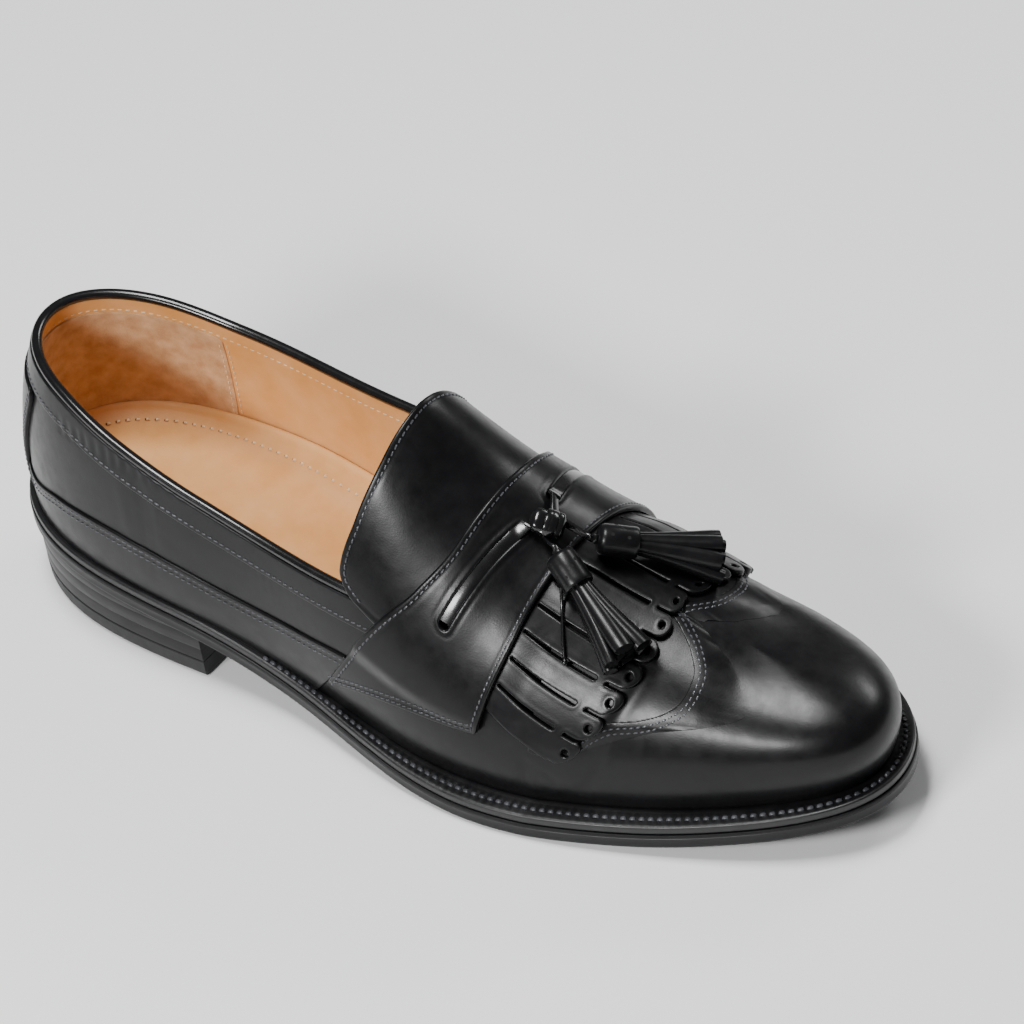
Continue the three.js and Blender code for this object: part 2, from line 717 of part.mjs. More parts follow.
// Ring of points round a centre; it turns from the first direction to the second
function section(centre, first, second, reachFirst, reachSecond, sides, start = 0, shape = () => 1) {
  return range(sides).slice(0, -1).map((share) => {
    const angle = 2 * Math.PI * share + start;
    return centre.clone()
      .addScaledVector(first, reachFirst * shape(share) * Math.cos(angle))
      .addScaledVector(second, reachSecond * shape(share) * Math.sin(angle));
  });
}

// Closed body through rings of equal count, with flat ends
function tubeBody(rings) {
  const sides = rings[0].length;
  const out = [];
  for (let i = 0; i < rings.length - 1; i += 1) {
    for (let k = 0; k < sides; k += 1) {
      const next = (k + 1) % sides;
      out.push(...quad(rings[i][k], rings[i][next], rings[i + 1][next], rings[i + 1][k]));
    }
  }
  const middle = (ring) => ring
    .reduce((sum, point) => sum.add(point), new THREE.Vector3())
    .divideScalar(sides);
  const first = rings[0];
  const last = rings[rings.length - 1];
  const firstMiddle = middle(first);
  const lastMiddle = middle(last);
  for (let k = 0; k < sides; k += 1) {
    const next = (k + 1) % sides;
    out.push([firstMiddle, first[next], first[k]]);
    out.push([lastMiddle, last[k], last[next]]);
  }
  return body(out);
}

// Lace: flat leather, laid in each slot and brought up to the knot, which sits on the saddle.
// The rise is a share of the way from the lace in its slot to the knot's middle.
const KNOT_SIZE = { long: 5.2, wide: 3.6, high: 2.6 };
const WRAP_SIZE = { long: 1.9, wide: 4.5, high: 3.3 };
const LACE_LIFT = OVER_TONGUE + LACE_THICKNESS / 2;
const KNOT_LIFT = OVER_FLAP + SADDLE_LEATHER + STACK_GAP + WRAP_SIZE.high;
const KNOT = { along: 0.637, across: -0.045, lift: KNOT_LIFT };
const LACE_RISE = [
  { share: 0.045, rise: 0 },
  { share: 0.36, rise: 0 },
  { share: 0.68, rise: 0 },
  { share: 0.90, rise: 0.094 },
  { share: 1.02, rise: 0.682 },
];
function lacePath(slot, toKnot) {
  const path = LACE_RISE.map(({ share, rise }) => {
    const t = toKnot ? share : 1 - share;
    return {
      along: mix(slot.from.along, slot.to.along, t),
      across: mix(slot.from.across, slot.to.across, t),
      lift: mix(LACE_LIFT, KNOT_LIFT, rise),
    };
  });
  return toKnot ? path : path.reverse();
}
const LACES = {
  lateral: lacePath(SLOTS.lateral, true),
  medial: lacePath(SLOTS.medial, false),
};
const LACE_STEPS = 14;
const laceGeometry = (path) => ribbon(path, LACE_STEPS, LACE_WIDTH / 2, LACE_THICKNESS / 2);

const wasm = await Module();
wasm.setup();

// Solid that can be cut and joined
function solid(geometry) {
  const merged = mergeVertices(geometry, 1e-4);
  return new wasm.Manifold(new wasm.Mesh({
    numProp: 3,
    vertProperties: new Float32Array(merged.attributes.position.array),
    triVerts: new Uint32Array(merged.index.array),
  }));
}

function fromSolid(shape) {
  const mesh = shape.getMesh();
  const geometry = new THREE.BufferGeometry();
  geometry.setAttribute('position', new THREE.BufferAttribute(new Float32Array(mesh.vertProperties), 3));
  geometry.setIndex(new THREE.BufferAttribute(new Uint32Array(mesh.triVerts), 1));
  return geometry;
}

// How far the slots' cutters stand past the leather
const CUT_PAST = 2;

function saddleGeometry() {
  const columns = mirrored([0, 0.12, 0.24, 0.36, 0.48, 0.6, 0.7, 0.78, 0.84, 0.89, 0.94, 1]);
  const base = sheet([0, 0.06, 0.15, 0.4, 0.7, 1], columns, saddlePlace,
    saddleUnder, (u, t) => saddleUnder(u, t) + SADDLE_LEATHER);
  const cutters = Object.values(SLOTS).map((slot) => sheet(
    [0, 0.5, 1], SLOT_COLUMNS, slotPlace(slot),
    () => 0, () => OVER_TONGUE + SADDLE_LEATHER + CUT_PAST,
  ));
  return fromSolid(cutters.reduce((shape, cutter) => shape.subtract(solid(cutter)), solid(base)));
}

// Overlay on the vamp: front edge from the lateral to the medial foot, with two rounded lobes
// and a cusp between them. The lateral lobe is the longer one.
const LOBES = [
  { across: -0.735, along: 0.7210 },
  { across: -0.650, along: 0.7390 },
  { across: -0.590, along: 0.7550 },
  { across: -0.555, along: 0.7680 },
  { across: -0.516, along: 0.8030 },
  { across: -0.463, along: 0.8290 },
  { across: -0.410, along: 0.8430 },
  { across: -0.340, along: 0.8510 },
  { across: -0.268, along: 0.8545 },
  { across: -0.170, along: 0.8440 },
  { across: -0.092, along: 0.8210 },
  { across: -0.030, along: 0.7970 },
  { across: 0.030, along: 0.8155 },
  { across: 0.105, along: 0.8265 },
  { across: 0.200, along: 0.8187 },
  { across: 0.288, along: 0.7997 },
  { across: 0.366, along: 0.7720 },
  { across: 0.450, along: 0.7470 },
  { across: 0.550, along: 0.7330 },
  { across: 0.650, along: 0.7250 },
  { across: 0.735, along: 0.7190 },
];
const lobes = edgeCurve(LOBES);
const LOBE_BACK = 0.693;
const OVERLAY_FOOT = 0.735;
const lobeColumns = column(LOBES, 'across');
const overlayGeometry = () => sheet(
  [0, 0.3, 0.6, 0.85, 1], lobeColumns.map((w) => w / OVERLAY_FOOT),
  (u, t) => across(mix(LOBE_BACK, lobes(OVERLAY_FOOT * t), u), OVERLAY_FOOT * t),
  () => GAP, () => GAP + OVERLAY_LEATHER,
);

// Fringed flap: strips with round ends, parted by long slits and, after a bridge, short ones
const FRINGE_SHIFT = -0.0195;
const FRINGE_HALF_BACK = 0.584;
const FRINGE_HALF_FRONT = 0.7235;
const FRINGE_RIDGE = 0.7995;
const FRINGE_DROP = 0.143;
const SHORT_SLIT = 5 / SOLE_LENGTH;
const BRIDGE = 3 / SOLE_LENGTH;
const fringeValley = (w) => FRINGE_RIDGE - FRINGE_DROP * w * w;

// Rows of the flap: tucked edge, slit start, top of the rise, slit end, bridge, valley, tip
const FLAP_ROWS = [0, 0.2, 0.35, 0.48, 0.6, 0.75, 1, 2];
const RISE_START = 0.002;
const RISE_END = 0.025;
function fringePlace(u, t) {
  const w = FRINGE_SHIFT + t * mix(FRINGE_HALF_BACK, FRINGE_HALF_FRONT, Math.min(1, u));
  const front = saddleFront(w);
  const valley = fringeValley(w);
  const slitEnd = valley - SHORT_SLIT - BRIDGE;
  const stops = [front - TUCK, front + RISE_START, front + RISE_END,
    mix(front + RISE_END, slitEnd, 0.5), slitEnd, valley - SHORT_SLIT, valley];
  const inStrip = ((t + 1) / 2 * FRINGE_STRIPS) % 1;
  const bulge = Math.sqrt(Math.max(0, 1 - (2 * inStrip - 1) ** 2));
  if (u > 1) {
    return across(valley + (u - 1) * bulge * FRINGE_TIP / SOLE_LENGTH, w);
  }
  return across(stops[FLAP_ROWS.indexOf(u)], w);
}
const OVER_OVERLAY = GAP + OVERLAY_LEATHER + GAP;
const flapUnder = (u) => mix(GAP, OVER_OVERLAY, clamp01((u - FLAP_ROWS[1]) / (FLAP_ROWS[2] - FLAP_ROWS[1])));

function kiltieGeometry() {
  const girth = 10 * skinAt(0.72, -0.5, 0).distanceTo(skinAt(0.72, -0.4, 0));
  const half = SLIT_WIDTH / 2 / girth / FRINGE_HALF_FRONT;
  const pitch = 2 / FRINGE_STRIPS;
  const inStrip = (k) => [half, pitch * 0.25, pitch * 0.75, pitch - half].map((d) => -1 + k * pitch + d);
  const columns = range(FRINGE_STRIPS - 1).flatMap((_, k) => inStrip(k));
  const slitRows = [1, 2, 3, 5, 6];
  const keep = (row, col) => col % 4 !== 3 || !slitRows.includes(row);
  return sheet(FLAP_ROWS, columns, fringePlace, flapUnder, (u) => flapUnder(u) + FLAP_LEATHER, keep);
}

// Backstay: a strip down the back seam
const STAY = [
  { along: 0.00, turn: 0.105 },
  { along: 0.20, turn: 0.108 },
  { along: 0.80, turn: 0.150 },
  { along: 1.00, turn: 0.165 },
];
const stayTurn = tableCurve(STAY, 'turn');
function backstayGeometry() {
  return sheet(range(10).map((share) => mix(0.02, 0.97, share)), range(12).map((share) => 2 * share - 1), (u, t) => {
    const side = t < 0 ? -1 : 1;
    const turn = Math.abs(t) * stayTurn(u);
    return { turn, up: u * rimUp(turn, side), side };
  }, () => GAP, () => GAP + OVERLAY_LEATHER);
}

// Rolled binding on the collar's rim
const BINDING_SIDES = 8;
const BINDING_WIDTH = WALL + 2 * BINDING_PROUD;
const BINDING_REACH = COLLAR_END + 0.012;
function bindingGeometry() {
  const path = stations.filter(({ turn }) => alongAt(turn) <= BINDING_REACH);
  const medial = path.filter(({ side }) => side > 0);
  const lateral = path.filter(({ side }) => side < 0).reverse();
  const run = [...lateral, ...medial.reverse().slice(1)];
  const rings = run.map(({ turn, side }) => {
    const top = rimUp(turn, side);
    const outward = lastOutward(turn, top, side);
    const rising = lastPoint(turn, top, side).sub(lastPoint(turn, top - 0.02, side)).normalize();
    const centre = skin(turn, top, side, -WALL / 2).addScaledVector(rising, GAP + BINDING_HEIGHT / 2);
    return section(centre, outward, rising, BINDING_WIDTH / 2, BINDING_HEIGHT / 2, BINDING_SIDES);
  });
  return tubeBody(rings);
}

// Tassels: a cap on the end of the lace, with a bundle of strands. The caps hang just clear of
// the saddle, and the flattened bundles just clear of the fringed flap.
const FLATNESS = 0.72;
const CAP_LIFT = OVER_FLAP + SADDLE_LEATHER + CAP_RADIUS + 2 * STACK_GAP;
const BUNDLE_LIFT = OVER_OVERLAY + FLAP_LEATHER + FLATNESS * TASSEL_RADIUS + STACK_GAP;
const TASSELS = {
  lateral: {
    start: { along: 0.6614, across: -0.113, lift: CAP_LIFT },
    end: { along: 0.7718, across: -0.285, lift: BUNDLE_LIFT },
  },
  medial: {
    start: { along: 0.6824, across: -0.010, lift: CAP_LIFT },
    end: { along: 0.7820, across: 0.180, lift: BUNDLE_LIFT },
  },
};
const CAP_PROFILE = [
  { down: 0, radius: 0.80 },
  { down: 0.08, radius: 0.94 },
  { down: 0.75, radius: 1.00 },
  { down: 1, radius: 1.00 },
];
const STRAND_PROFILE = [
  { down: 0, radius: 0.58, groove: 0 },
  { down: 0.10, radius: 0.62, groove: 0.06 },
  { down: 0.40, radius: 0.78, groove: 0.10 },
  { down: 0.75, radius: 0.97, groove: 0.13 },
  { down: 1, radius: 1.00, groove: 0.15 },
];
const CAP_SIDES = 14;

// Frame of a tassel: its axis, the way across it and the way out of the shoe
function tasselFrame({ start, end }) {
  const from = skinAt(start.along, start.across, start.lift);
  const to = skinAt(end.along, end.across, end.lift);
  const axis = to.clone().sub(from).normalize();
  const w = (start.across + end.across) / 2;
  const out = lastOutward(turnAt((start.along + end.along) / 2), 1 - Math.abs(w), w < 0 ? -1 : 1);
  const wide = axis.clone().cross(out).normalize();
  return { from, axis, wide, out: wide.clone().cross(axis) };
}

function bundle({ from, axis, wide, out }, offset, length, sides, radii) {
  return tubeBody(radii.map(({ down, radius, shape = () => 1, flat = 1 }) => {
    const centre = from.clone().addScaledVector(axis, offset + down * length);
    return section(centre, out, wide, radius * flat, radius, sides, 0, shape);
  }));
}

const capGeometry = (tassel) => bundle(tasselFrame(tassel), 0, CAP_LENGTH, CAP_SIDES,
  CAP_PROFILE.map(({ down, radius }) => ({ down, radius: radius * CAP_RADIUS })));

const strandGeometry = (tassel) => bundle(
  tasselFrame(tassel), CAP_LENGTH + GAP, TASSEL_LENGTH, TASSEL_STRANDS * 3,
  STRAND_PROFILE.map(({ down, radius, groove }) => ({
    down,
    radius: radius * TASSEL_RADIUS,
    shape: (share) => 1 - groove * (1 - Math.cos(2 * Math.PI * TASSEL_STRANDS * share)) / 2,
    flat: mix(1, FLATNESS, down),
  })));

// Short ends of the lace, narrowed between the knot and the caps
const END_NARROWING = 0.8;
const LACE_ENDS = {
  lateral: [
    { along: 0.6465, across: -0.085, lift: KNOT_LIFT },
    { along: 0.6520, across: -0.100, lift: mix(KNOT_LIFT, CAP_LIFT, 0.56) },
    { along: 0.6600, across: -0.111, lift: mix(KNOT_LIFT, CAP_LIFT, 0.94) },
  ],
  medial: [
    { along: 0.6515, across: -0.029, lift: KNOT_LIFT },
    { along: 0.6640, across: -0.022, lift: mix(KNOT_LIFT, CAP_LIFT, 0.33) },
    { along: 0.6790, across: -0.013, lift: mix(KNOT_LIFT, CAP_LIFT, 0.89) },
  ],
};
const laceEndGeometry = (path) => ribbon(path, 6, LACE_WIDTH / 2 * END_NARROWING, LACE_THICKNESS / 2);

// Thin thong that hangs out of the lateral cap and lies on the fringe
const THONG_RADIUS = 0.6;
const THONG_LIFT = OVER_OVERLAY + FLAP_LEATHER + GAP + THONG_RADIUS;
const THONG = [
  { along: 0.6900, across: -0.232, lift: THONG_LIFT },
  { along: 0.7030, across: -0.310, lift: THONG_LIFT },
  { along: 0.7155, across: -0.388, lift: THONG_LIFT },
];
const thongGeometry = () => ribbon(THONG, 6, THONG_RADIUS, THONG_RADIUS, 6);

// Knot: a barrel of lace with one turn wrapped round it, set apart along the knot
const KNOT_OFFSET = -1.2;
const WRAP_OFFSET = 0.6;
function knotGeometry() {
  const centre = skinAt(KNOT.along, KNOT.across, KNOT.lift);
  const ahead = skinAt(LACE_ENDS.medial[0].along, LACE_ENDS.medial[0].across, KNOT.lift);
  const out = lastOutward(turnAt(KNOT.along), 1 - Math.abs(KNOT.across), -1);
  const forward = ahead.sub(centre).normalize();
  const wide = forward.clone().cross(out).normalize();
  const turned = new THREE.Matrix4().makeBasis(forward, wide.clone().negate(), wide.clone().cross(forward));
  const lump = (size, offset) => {
    const ball = new THREE.SphereGeometry(1, 10, 6);
    ball.deleteAttribute('normal');
    ball.deleteAttribute('uv');
    ball.scale(size.long, size.wide, size.high);
    ball.translate(offset, 0, 0);
    ball.applyMatrix4(turned);
    ball.translate(centre.x, centre.y, centre.z);
    return solid(ball);
  };
  return fromSolid(lump(KNOT_SIZE, KNOT_OFFSET).add(lump(WRAP_SIZE, WRAP_OFFSET)));
}

// Leather and rubber
const finish = (color, roughness) => new THREE.MeshStandardMaterial({ color, roughness, metalness: 0 });
const blackCalf = finish(0x17181b, 0.28);
const tanLining = finish(0xd39a5c, 0.6);
const soleLeather = finish(0x1d1d20, 0.4);
const heelRubber = finish(0x151517, 0.65);

const shoe = new THREE.Group();
shoe.name = 'kiltie_loafer';

function add(name, geometry, material) {
  const mesh = new THREE.Mesh(geometry, material);
  mesh.name = name;
  shoe.add(mesh);
}

add('top_lift', topLiftGeometry(), heelRubber);
add('heel_stack', heelStackGeometry(), soleLeather);
add('outsole', outsoleGeometry(), soleLeather);
add('welt', weltGeometry(), soleLeather);
add('insole', insoleGeometry(), tanLining);
add('upper', upperGeometry(), blackCalf);
add('tongue', tongueGeometry(), blackCalf);
add('saddle_strap', saddleGeometry(), blackCalf);
add('vamp_overlay', overlayGeometry(), blackCalf);
add('kiltie', kiltieGeometry(), blackCalf);
add('backstay', backstayGeometry(), blackCalf);
add('collar_binding', bindingGeometry(), blackCalf);
add('knot', knotGeometry(), blackCalf);
add('thong', thongGeometry(), blackCalf);
for (const side of ['lateral', 'medial']) {
  add(`lace_${side}`, laceGeometry(LACES[side]), blackCalf);
  add(`lace_end_${side}`, laceEndGeometry(LACE_ENDS[side]), blackCalf);
  add(`tassel_cap_${side}`, capGeometry(TASSELS[side]), blackCalf);
  add(`tassel_${side}`, strandGeometry(TASSELS[side]), blackCalf);
}

// The origin lies under the middle of the sole's width
const soleSides = soleStations.map(({ turn, side }) => solePoint(turn, side).y);
shoe.position.y = -(Math.min(...soleSides) + Math.max(...soleSides)) / 2;

export default shoe;
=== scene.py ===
"""Kiltie loafer for the right foot: leather, stitching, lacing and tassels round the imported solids."""
import logging
import math
from dataclasses import dataclass, field
from enum import Enum
from typing import Callable, Iterable, Sequence

import bpy
import numpy as np
from mathutils import Matrix


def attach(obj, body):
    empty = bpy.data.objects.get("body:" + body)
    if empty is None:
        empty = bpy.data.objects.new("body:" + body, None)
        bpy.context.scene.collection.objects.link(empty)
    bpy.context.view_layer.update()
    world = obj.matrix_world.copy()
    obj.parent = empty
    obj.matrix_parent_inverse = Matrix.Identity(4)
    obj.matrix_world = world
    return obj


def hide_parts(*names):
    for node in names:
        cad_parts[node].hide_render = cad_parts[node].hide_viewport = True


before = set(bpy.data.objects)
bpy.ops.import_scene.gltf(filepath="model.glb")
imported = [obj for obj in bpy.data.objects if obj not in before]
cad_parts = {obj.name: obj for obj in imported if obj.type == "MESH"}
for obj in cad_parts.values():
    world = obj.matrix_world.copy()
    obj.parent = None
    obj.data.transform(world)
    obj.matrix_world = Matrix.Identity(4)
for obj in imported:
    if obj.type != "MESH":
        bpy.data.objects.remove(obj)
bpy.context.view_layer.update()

log = logging.getLogger("kiltie_loafer")
MM = 0.001
BODY = "root"
Array = np.ndarray
Mesh = tuple[Array, list]

# Millimetres for one unit up the quarters, for one turn round the heel, and for one unit
# across the instep and across the overlay
UP_MM = 118.0
TURN_MM = 330.0
ACROSS_MM = 88.0
OVERLAY_MM = 90.0


# Curves

class EasyCurve:
    """Curve through points that never overshoots them."""

    def __init__(self, xs: Sequence[float], ys: Sequence[float]) -> None:
        """Work out the slope at each point.

        Args:
            xs: places, rising.
            ys: values there.
        """
        self.x, self.y = np.asarray(xs, float), np.asarray(ys, float)
        step = np.diff(self.x)
        slope = np.diff(self.y) / step
        tangent = np.concatenate([[slope[0]], np.zeros(len(slope) - 1), [slope[-1]]])
        for i in range(1, len(slope)):
            before, after = slope[i - 1], slope[i]
            if before * after > 0:
                a, b = 2 * step[i] + step[i - 1], step[i] + 2 * step[i - 1]
                tangent[i] = (a + b) / (a / before + b / after)
        self.step, self.tangent = step, tangent

    def __call__(self, at: Array) -> Array:
        """Value at each place, held beyond the ends."""
        return self.between(np.clip(at, self.x[0], self.x[-1]))

    def between(self, at: Array) -> Array:
        """Value of the cubic piece that each place falls in."""
        at = np.asarray(at, float)
        i = np.clip(np.searchsorted(self.x, at, "left") - 1, 0, len(self.step) - 1)
        h, t = self.step[i], (at - self.x[i]) / self.step[i]
        keep = (1 + 2 * t) * (1 - t) ** 2
        return (keep * self.y[i] + (1 - keep) * self.y[i + 1]
                + h * t * (1 - t) * ((1 - t) * self.tangent[i] - t * self.tangent[i + 1]))


class SmoothCurve(EasyCurve):
    """Smoothest curve through points with a given slope at each end."""

    def __init__(self, xs: Sequence[float], ys: Sequence[float], start: float, end: float) -> None:
        """Solve for the slopes.

        Args:
            xs: places, rising.
            ys: values there.
            start: slope at the first place.
            end: slope at the last place.
        """
        super().__init__(xs, ys)
        h, d, n = self.step, np.diff(self.y), len(self.x)
        rows = np.zeros((n, n))
        right = np.zeros(n)
        rows[0, 0] = rows[-1, -1] = 1
        right[0], right[-1] = start, end
        for i in range(1, n - 1):
            rows[i, i - 1:i + 2] = h[i], 2 * (h[i - 1] + h[i]), h[i - 1]
            right[i] = 3 * (d[i - 1] * h[i] / h[i - 1] + d[i] * h[i - 1] / h[i])
        self.tangent = np.linalg.solve(rows, right)

    def __call__(self, at: Array) -> Array:
        """Value at each place, carried on beyond the ends."""
        return self.between(at)


def mirrored(xs: Sequence[float], ys: Sequence[float]) -> EasyCurve:
    """Curve that is the same on both sides of its first place, which is 0."""
    return EasyCurve(np.concatenate([-np.array(xs[::-1]), np.array(xs)[1:]]),
                     np.concatenate([np.array(ys[::-1]), np.array(ys)[1:]]))


def smooth_step(x: Array) -> Array:
    """Soft rise from 0 to 1 between 0 and 1."""
    x = np.clip(x, 0, 1)
    return x * x * (3 - 2 * x)


def unit(v: Array) -> Array:
    """Vectors of length 1 in the same directions."""
    return v / np.maximum(np.linalg.norm(v, axis=-1, keepdims=True), 1e-12)


def resampled(points: Array, step: float) -> tuple[Array, Array]:
    """Even stations along a line.

    Args:
        points: the line's points.
        step: wanted distance between stations.

    Returns:
        The stations as fractional indices of the line, and their distances along it.
    """
    run = np.concatenate([[0], np.cumsum(np.linalg.norm(np.diff(points, axis=0), axis=1))])
    count = max(2, int(round(run[-1] / step)) + 1)
    at = np.linspace(0, run[-1], count)
    return np.interp(at, run, np.arange(len(points))), at


def taken(values: Array, where: Array) -> Array:
    """Rows of a table at fractional indices."""
    low = np.clip(where.astype(int), 0, len(values) - 2)
    share = (where - low).reshape(-1, *[1] * (values.ndim - 1))
    return values[low] * (1 - share) + values[low + 1] * share


def through(points: Sequence[Sequence[float]], count: int) -> Array:
    """Smooth line through points.

    Args:
        points: the points to pass.
        count: stations wanted.

    Returns:
        The stations, one row each.
    """
    p = np.asarray(points, float)
    if len(p) == 2:
        return p[0] + np.linspace(0, 1, count)[:, None] * (p[1] - p[0])
    p = np.vstack([2 * p[0] - p[1], p, 2 * p[-1] - p[-2]])
    out = []
    for at in np.linspace(0, len(p) - 3 - 1e-9, count):
        i = int(at)
        t = at - i
        a, b, c, d = p[i:i + 4]
        out.append(0.5 * (2 * b + (c - a) * t + (2 * a - 5 * b + 4 * c - d) * t * t
                          + (3 * b - a - 3 * c + d) * t ** 3))
    return np.array(out)


# The last

@dataclass
class Last:
    """Form that the shoe is made on, in millimetres, with the same values as the solids."""

    sole_length: float = 304.0
    ball_width: float = 105.7
    instep_height: float = 100.0
    back_height: float = 85.0
    seat_height: float = 22.6
    toe_spring: float = 11.1
    toe_swing: float = 7.9
    outsole: float = 4.8
    welt: float = 2.7
    ledge_width: float = 8.4
    wall: float = 2.2
    gap: float = 0.3
    collar_end: float = 0.53
    throat: float = 0.60
    shift: float = 0.0

    def __post_init__(self) -> None:
        """Build every curve from its table."""
        half = self.ball_width / 2
        outline = np.array([[.12, .681, .657], [.26, .749, .710], [.40, .776, .696],
                            [.52, .920, .804], [.64, .988, 1.012], [.76, .868, .959],
                            [.88, .643, .800]])
        turns = np.concatenate([[0], np.pi * self.turn_at(outline[:, 0]), [np.pi]])
        self.widths = [SmoothCurve(turns, np.concatenate([[0], outline[:, k] * half, [0]]),
                                   1.253 * half, -1.188 * half) for k in (1, 2)]
        self.under = EasyCurve([0, .26, .40, .50, .57, .62, .69],
                               np.array([1, .73, .358, .15, .035, 0, 0]) * self.seat_height)
        self.spring = EasyCurve([.69, .80, .90, 1],
                                np.array([0, .198, .559, 1]) * self.toe_spring)
        at = [0, .10, .25, .40, .52, .64, .76, .88, 1]
        ledge = np.array([[.40, .36, .33, .45, .74, .98, 1, .96, .74],
                          [.40, .36, .33, .38, .60, .84, .90, .84, .74]]) * self.ledge_width
        lean = np.radians([[4, 4, 4, 8, 14, 18, 18, 19, 24], [4, 4, 4, 3, 5, 11, 13, 15, 24]])
        full = [[.54, .56, .60, .66, .62, .62, .66, .70, .84],
                [.54, .60, .74, .78, .66, .68, .80, .78, .84]]
        self.ledge = [EasyCurve(at, row) for row in ledge]
        self.lean = [EasyCurve(at, row) for row in lean]
        self.full = [EasyCurve(at, row) for row in full]
        self.low = EasyCurve(at, np.array([.32, .34, .36, .34, .29, .22, .19, .22, .27])
                             * self.instep_height)
        ridge = [0, .13, .30, .42, .50, .58, .66, .74, .80, .86, 1]
        self.ridge_height = EasyCurve(ridge, np.array(
            [1.22, 1.22, 1.21, 1.15, 1.01, .81, .665, .57, .52, .475, .47]) * self.instep_height)
        self.ridge_side = EasyCurve(ridge, np.array(
            [0, 0, 0, .15, .26, .40, .58, .80, .95, 1, 1]) * self.toe_swing)
        collar = [0, .10, .20, .30, .40, .50, .53]
        self.rim = [EasyCurve(collar, np.array(row) * self.back_height) for row in (
            [1, .955, .865, .770, .697, .665, .655], [1, .940, .860, .820, .797, .775, .765])]
        sides = [self.sole_point(np.linspace(0, 1, 37), s)[:, 1] for s in (-1, 1)]
        self.shift = -(min(sides[0]) + max(sides[1])) / 2
        self.feather = self.outsole + self.gap + self.welt + self.gap

    @staticmethod
    def turn_at(along: Array) -> Array:
        """Turn, 0 at the heel to 1 at the toe, for a share of the length."""
        return np.arccos(np.clip(1 - 2 * np.asarray(along, float), -1, 1)) / np.pi

    @staticmethod
    def along_at(turn: Array) -> Array:
        """Share of the length for a turn."""
        return (1 - np.cos(np.pi * np.asarray(turn, float))) / 2

    def sole_height(self, x: Array) -> Array:
        """Height of the outsole's underside."""
        along = np.clip((x + self.sole_length / 2) / self.sole_length, 0, 1)
        return np.where(along < .69, self.under(along), self.spring(along))

    def sole_point(self, turn: Array, side: Array) -> Array:
        """Points of the sole's outline; side is -1 lateral, +1 medial."""
        turn, side = np.broadcast_arrays(np.asarray(turn, float), np.asarray(side, float))
        along = self.along_at(turn)
        width = np.where(side < 0, self.widths[0](np.pi * turn), self.widths[1](np.pi * turn))
        swing = self.toe_swing * np.clip((along - .45) / .55, 0, 1) ** 2
        return np.stack([self.sole_length * (along - .5), side * width + swing + self.shift], -1)

    def sole_outward(self, turn: Array, side: Array) -> Array:
        """Directions out of the sole's outline."""
        turn, side = np.broadcast_arrays(np.asarray(turn, float), np.asarray(side, float))
        run = self.sole_point(turn + 1e-4, side) - self.sole_point(turn - 1e-4, side)
        return unit(np.stack([-run[..., 1] * side, run[..., 0] * side], -1))

    def sole_place(self, turn: Array, side: Array, inset: Array, height: Array) -> Array:
        """Points inside the outline by an inset, at a height over the outsole's underside."""
        inset = np.asarray(inset, float)[..., None]
        place = self.sole_point(turn, side) - inset * self.sole_outward(turn, side)
        z = self.sole_height(place[..., 0]) + height
        return np.concatenate([place, np.asarray(z)[..., None]], -1)

    def pick(self, pair: Sequence[EasyCurve], along: Array, side: Array) -> Array:
        """Value of the lateral or the medial curve."""
        return np.where(side < 0, pair[0](along), pair[1](along))

    def ridge_x(self, turn: Array) -> Array:
        """Place on the ridge line, drawn in from both ends."""
        half = self.sole_length / 2
        x = self.sole_length * (self.along_at(turn) - .5)
        toe = np.maximum(0, x - (half - 115)) / 115
        heel = np.maximum(0, -x - (half - 100)) / 100
        return x - 46 * toe ** 2 + 40 * heel ** 2

    def point(self, turn: Array, up: Array, side: Array) -> Array:
        """Points on the outside of the last; up is 0 at the sole and 1 on the ridge."""
        turn, up, side = np.broadcast_arrays(np.asarray(turn, float), np.asarray(up, float),
                                             np.asarray(side, float))
        along = self.along_at(turn)
        outward = self.sole_outward(turn, side)
        foot = self.sole_place(turn, side, self.pick(self.ledge, along, side), self.feather)
        x = self.ridge_x(turn)
        share = x / self.sole_length + .5
        slope = (self.ridge_height(share + 1e-3) - self.ridge_height(share - 1e-3)) / (
            2e-3 * self.sole_length)
        top = np.stack([x, self.ridge_side(share) + self.shift, self.ridge_height(share)], -1)
        lean, low = self.pick(self.lean, along, side), self.low(along)
        lower = foot + low[..., None] * np.concatenate(
            [np.sin(lean)[..., None] * outward, np.cos(lean)[..., None]], -1)
        full = self.pick(self.full, along, side)[..., None]
        back = foot - top
        upper = top + full * np.stack([back[..., 0], back[..., 1], back[..., 0] * slope], -1)
        v = up[..., None]
        return ((1 - v) ** 3 * foot + 3 * (1 - v) ** 2 * v * lower
                + 3 * (1 - v) * v * v * upper + v ** 3 * top)

    def outward(self, turn: Array, up: Array, side: Array) -> Array:
        """Directions out of the last."""
        turn, up, side = np.broadcast_arrays(np.asarray(turn, float), np.asarray(up, float),
                                             np.asarray(side, float))
        d = 2e-3
        t, u = np.clip(turn, 3 * d, 1 - 3 * d), np.clip(up, 2 * d, 1 - 2 * d)

        def normal(s: Array) -> Array:
            """Normal on one side."""
            forward = self.point(t + d, u, s) - self.point(t - d, u, s)
            rising = self.point(t, u + d, s) - self.point(t, u - d, s)
            return unit(np.cross(forward, rising) * -np.asarray(s)[..., None])

        own = normal(side)
        shared = (up > 1 - 2 * d) | (turn < 3 * d) | (turn > 1 - 3 * d)
        return np.where(shared[..., None], unit(own + normal(-side)), own)

    def skin(self, turn: Array, up: Array, side: Array, lift: Array = 0.0) -> Array:
        """Points a given distance outside the upper's skin."""
        lift = np.asarray(lift, float)[..., None]
        return self.point(turn, up, side) + lift * self.outward(turn, up, side)

